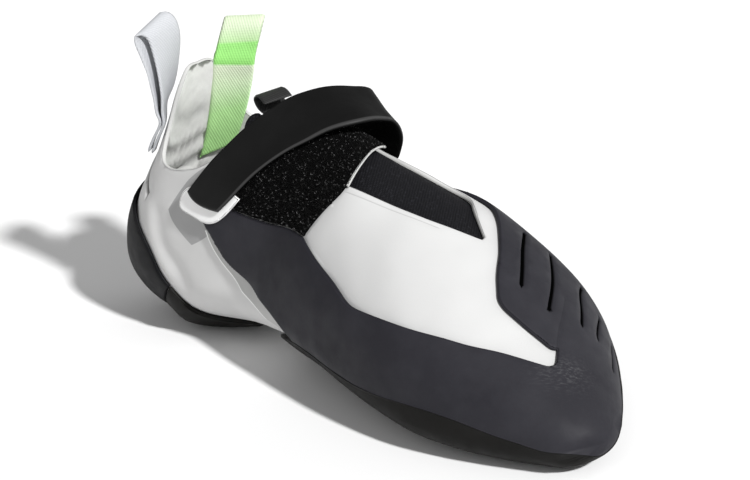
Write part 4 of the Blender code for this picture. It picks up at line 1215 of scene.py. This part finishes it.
def pile(skin):
    """The soft half of the closure: a ground, thousands of small loops and the lip beside."""
    points, faces, _ = shell(skin, skin.region("lip"), RAND_INNER, PILE_OUTER, drop=0.0003)
    lip = make_mesh("throat_lip", points, faces, None, [CUT_EDGE])
    plate(skin, "pile_ground", "pile", RAND_INNER, RAND_INNER + PILE_GROUND, pile_ground(),
          "pile_patch", "loop_pile", pull=EDGE_GAP)
    rng = np.random.default_rng(SEED)
    triangles = skin.faces[skin.region("pile")]
    corner = skin.base[triangles]
    first, second = corner[:, 1] - corner[:, 0], corner[:, 2] - corner[:, 0]
    area = np.linalg.norm(np.cross(first, second), axis=1)
    pick = rng.choice(len(triangles), size=PILE_LOOPS, p=area / area.sum())
    a, b = rng.uniform(size=(2, PILE_LOOPS))
    over = a + b > 1
    a[over], b[over] = 1 - a[over], 1 - b[over]
    up = skin.normal[triangles[pick, 0]]
    place = corner[pick, 0] + first[pick] * a[:, None] + second[pick] * b[:, None]
    place = place + up * (RAND_INNER + PILE_ROOT)
    side = unit(np.cross(up, rng.normal(size=(PILE_LOOPS, 3))))
    cross = np.cross(up, side)
    height = rng.uniform(0.0003, 0.0009, PILE_LOOPS)
    span = rng.uniform(0.00015, 0.00045, PILE_LOOPS)
    lean = rng.normal(scale=0.0003, size=PILE_LOOPS)
    rows = []
    for angle in np.linspace(0, math.pi, FIBRE_RINGS):
        middle = place + side * (np.cos(angle) * span)[:, None]
        middle = middle + up * (np.sin(angle) * height)[:, None]
        middle = middle + cross * (np.sin(angle) * lean)[:, None]
        out = (side * np.cos(angle) + up * np.sin(angle)) * FIBRE_HALF
        rows.append([middle + out, middle - out * 0.5 + cross * FIBRE_HALF,
                     middle - out * 0.5 - cross * FIBRE_HALF])
    fibres = np.array(rows).transpose(2, 0, 1, 3).reshape(-1, 3)
    one = [(3 * i + j, 3 * i + (j + 1) % 3, 3 * i + 3 + (j + 1) % 3, 3 * i + 3 + j)
           for i in range(FIBRE_RINGS - 1) for j in range(3)]
    size = 3 * FIBRE_RINGS
    faces = (np.array(one)[None] + (np.arange(PILE_LOOPS) * size)[:, None, None]).reshape(-1, 4)
    item = make_mesh("pile_loops", fibres, [tuple(f) for f in faces.tolist()], None, [pile_fibre()])
    # A random share for each loop; the highest few become painted glints
    paint(item, "fibre", np.repeat(rng.uniform(size=PILE_LOOPS), size))


def strap():
    """The strap, from its closing end over the instep to its sewn end."""
    rows = np.array(STRAP)
    knots = np.arange(len(rows), dtype=float)
    fine = natural(knots, rows, np.linspace(0, knots[-1], STRAP_ALONG))
    column = {name: k for k, name in enumerate(STRAP_COLUMNS)}
    share = np.linspace(-1, 1, STRAP_ACROSS)
    share = 0.5 + 0.5 * np.sign(share) * (1 - (1 - np.abs(share)) ** 1.35)
    across = {}
    for name in ("t", "v", "rise"):
        ankle, toe = fine[:, column["ankle_" + name]], fine[:, column["toe_" + name]]
        across[name] = ankle[:, None] + (toe - ankle)[:, None] * share
    bed = RAND_INNER + (STRAP_INNER - RAND_INNER) * np.clip(fine[:, [0]], 0, 1)
    height = bed + across["rise"] * STRAP_RISE + STRAP_WALL / 2
    t, v = across["t"], across["v"]
    middle = lift(t, v, height)
    normal = unit(np.cross(np.gradient(middle, axis=0), np.gradient(middle, axis=1)))
    if (normal * normals(t, v)).sum() < 0:
        normal = -normal
    points, faces, kinds, uv = band(middle, None, normal, None, STRAP_WALL / 2, STRAP_ACROSS)
    item = make_mesh("strap_band", points, faces, kinds, [strap_leather(), pile_ground()], uv)
    # Painted highlight: a pale line two columns in from one edge of the strap
    column_of = np.tile(np.arange(STRAP_ACROSS), STRAP_ALONG)
    edge = np.zeros(len(points))
    edge[:len(column_of)] = np.isin(column_of, (STRAP_ACROSS - 3, STRAP_ACROSS - 2))
    paint(item, "painted_light_and_shade", edge)
    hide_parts("strap")


def leg(middle, ts, d):
    """Centre points and width directions of a loop's sewn leg."""
    t = np.array(ts, float)
    v = np.full(len(t), middle)
    places = lift(t, v, np.full(len(t), d))
    return places, unit(last(t, v + 0.004) - last(t, v - 0.004))


def free_part(start, across, table, size, lean):
    """Centre points and width directions of the part of a loop that stands free."""
    flat = unit(np.array([across[0], across[1], 0.0]))
    out = np.array([flat[1], -flat[0], 0.0])
    if out[0] > 0:
        out = -out
    path, wide = [], []
    for far, up, turn, dip in table:
        path.append(start + out * far * size + np.array([lean, lean, 1.0]) * up * size)
        c, s = math.cos(math.radians(turn)), math.sin(math.radians(turn))
        wide.append((flat[0] * c - flat[1] * s, flat[0] * s + flat[1] * c, -dip))
    return np.array(path), unit(np.array(wide))


def tape(name, path, wide, half_width, wall, material, node, count=90):
    """A loop of webbing along a path."""
    knots = run_of(path)
    places = np.linspace(0, knots[-1], count)
    middle = natural(knots, path, places)
    across = natural(knots, wide, places)
    normal = unit(np.cross(unit(np.gradient(middle, axis=0)), across))
    points, faces, _, uv = band(middle, across, normal, half_width, wall / 2)
    item = make_mesh(name, points, faces, None, [material], uv)
    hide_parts(node)


def heel_loop(name, legs, table, size, lean, material, node):
    """A pull loop: a sewn leg, the part that stands free, and the other sewn leg."""
    (first, first_wide), (end, end_wide) = [leg(*one) for one in legs]
    path, wide = free_part((first[-1] + end[0]) / 2, first_wide[-1], table, size, lean)
    tape(name, np.vstack([first, path, end]), np.vstack([first_wide, wide, end_wide]),
         LOOP_WIDTH / 2, LOOP_WALL, material, node)


def heel_loops():
    """The white loop on the big-toe side and the green one on the little-toe side."""
    on_upper = LEG_OUTER + LOOP_WALL / 2
    on_leg = LEG_OUTER + LOOP_WALL * 1.5 + LOOP_FOLD_GAP
    heel_loop("inner_loop_tape",
              ((INNER_LOOP_V, INNER_LEG_T, on_upper), (INNER_LOOP_V, INNER_LEG_T[::-1], on_leg)),
              INNER_LOOP, INNER_LOOP_HEIGHT, 0.0,
              webbing("white_webbing", (0.46, 0.47, 0.49), (0.42, 0.43, 0.45)),
              "inner_heel_loop")
    heel_loop("outer_loop_tape",
              ((OUTER_LOOP_V, OUTER_LEG_IN_T, LEG_INNER - LOOP_WALL / 2),
               (OUTER_LOOP_V, OUTER_LEG_OUT_T, on_upper)),
              OUTER_LOOP, OUTER_LOOP_HEIGHT, OUTER_LOOP_LEAN,
              webbing("green_webbing", (0.42, 0.80, 0.30), (0.22, 0.60, 0.14), GREEN_TONES),
              "outer_heel_loop")


def tongue_loop():
    """The small loop on the tongue's top."""
    t, v = TONGUE_LOOP_TV
    root = lift(np.array(t), np.array(v), np.array((LINER_OUTER + LINER_INNER) / 2))
    across = unit(last(t, v + 0.04) - last(t, v - 0.04))
    back = np.array(TONGUE_LOOP_BACK)
    back = unit(back - across * back.dot(across))
    out = np.cross(back, across)
    if out[2] < 0:
        out = -out
    path = np.array([root + (back * a + out * b) * TONGUE_LOOP_LENGTH for a, b in TONGUE_LOOP])
    wide = np.repeat(across[None], len(path), axis=0)
    material = webbing("black_webbing", (0.014, 0.014, 0.014), (0.006, 0.006, 0.006))
    tape("tongue_loop_tape", path, wide, TONGUE_LOOP_WIDTH / 2, TONGUE_LOOP_WALL, material,
         "tongue_loop", count=50)


def stage():
    """A plain pale floor, a low sun from the toe that casts the shadow, and soft light."""
    mesh = bpy.data.meshes.new("floor")
    half = FLOOR_HALF
    mesh.from_pydata([(-half, -half, 0), (half, -half, 0), (half, half, 0), (-half, half, 0)],
                     [], [(0, 1, 2, 3)])
    floor = bpy.data.objects.new("floor", mesh)
    floor.location.z = -FLOOR_DROP
    bpy.context.scene.collection.objects.link(floor)
    pale = Nodes("pale_floor", (0.90, 0.90, 0.90), 0.9)
    pale.set(pale.shader, {"Specular IOR Level": 0.1})
    mesh.materials.append(pale.material)
    world = bpy.data.worlds.new("studio")
    world.use_nodes = True
    background = world.node_tree.nodes["Background"]
    background.inputs[0].default_value = (1.0, 1.0, 1.0, 1.0)
    background.inputs[1].default_value = WORLD_LIGHT
    bpy.context.scene.world = world
    bpy.context.scene.view_settings.view_transform = "Standard"
    for name, place, spread, power in LIGHTS:
        data = bpy.data.lights.new(name, "SUN")
        data.angle = math.radians(spread)
        data.energy = power
        light = bpy.data.objects.new(name, data)
        light.location = place
        light.rotation_euler = (-Vector(place)).to_track_quat("-Z", "Y").to_euler()
        bpy.context.scene.collection.objects.link(light)


def camera():
    """The camera at the photograph's angle, rolled as it is there."""
    azimuth, elevation = math.radians(CAMERA_AZIMUTH), math.radians(CAMERA_ELEVATION)
    roll = math.radians(CAMERA_ROLL)
    back = np.array([math.sin(azimuth) * math.cos(elevation),
                     -math.cos(azimuth) * math.cos(elevation), math.sin(elevation)])
    level = np.array([math.cos(azimuth), math.sin(azimuth), 0.0])
    plumb = np.cross(back, level)
    right = math.cos(roll) * level + math.sin(roll) * plumb
    up = -math.sin(roll) * level + math.cos(roll) * plumb
    data = bpy.data.cameras.new("camera")
    data.lens = CAMERA_LENS
    data.clip_start = 0.01
    item = bpy.data.objects.new("camera", data)
    item.location = np.array(CAMERA_TARGET) - ORIGIN_ON_LAST + back * CAMERA_DISTANCE
    turn = Vector(right), Vector(up), Vector(back)
    matrix = item.matrix_world.to_3x3()
    for k, axis in enumerate(turn):
        matrix.col[k] = axis
    item.rotation_euler = matrix.to_euler()
    bpy.context.scene.collection.objects.link(item)
    bpy.context.scene.camera = item


SKIN = Skin()
print("skin", len(SKIN.base), "points", len(SKIN.faces), "triangles")
camera()
upper(SKIN)
tongue(SKIN)
rubbers(SKIN)
pile(SKIN)
plate(SKIN, "strap_tab_plate", "tab", TAB_INNER, TAB_OUTER, TAB_MATERIAL, "strap_tab", "end_tab",
      bulge=1.0)
strap()
heel_loops()
tongue_loop()
stage()
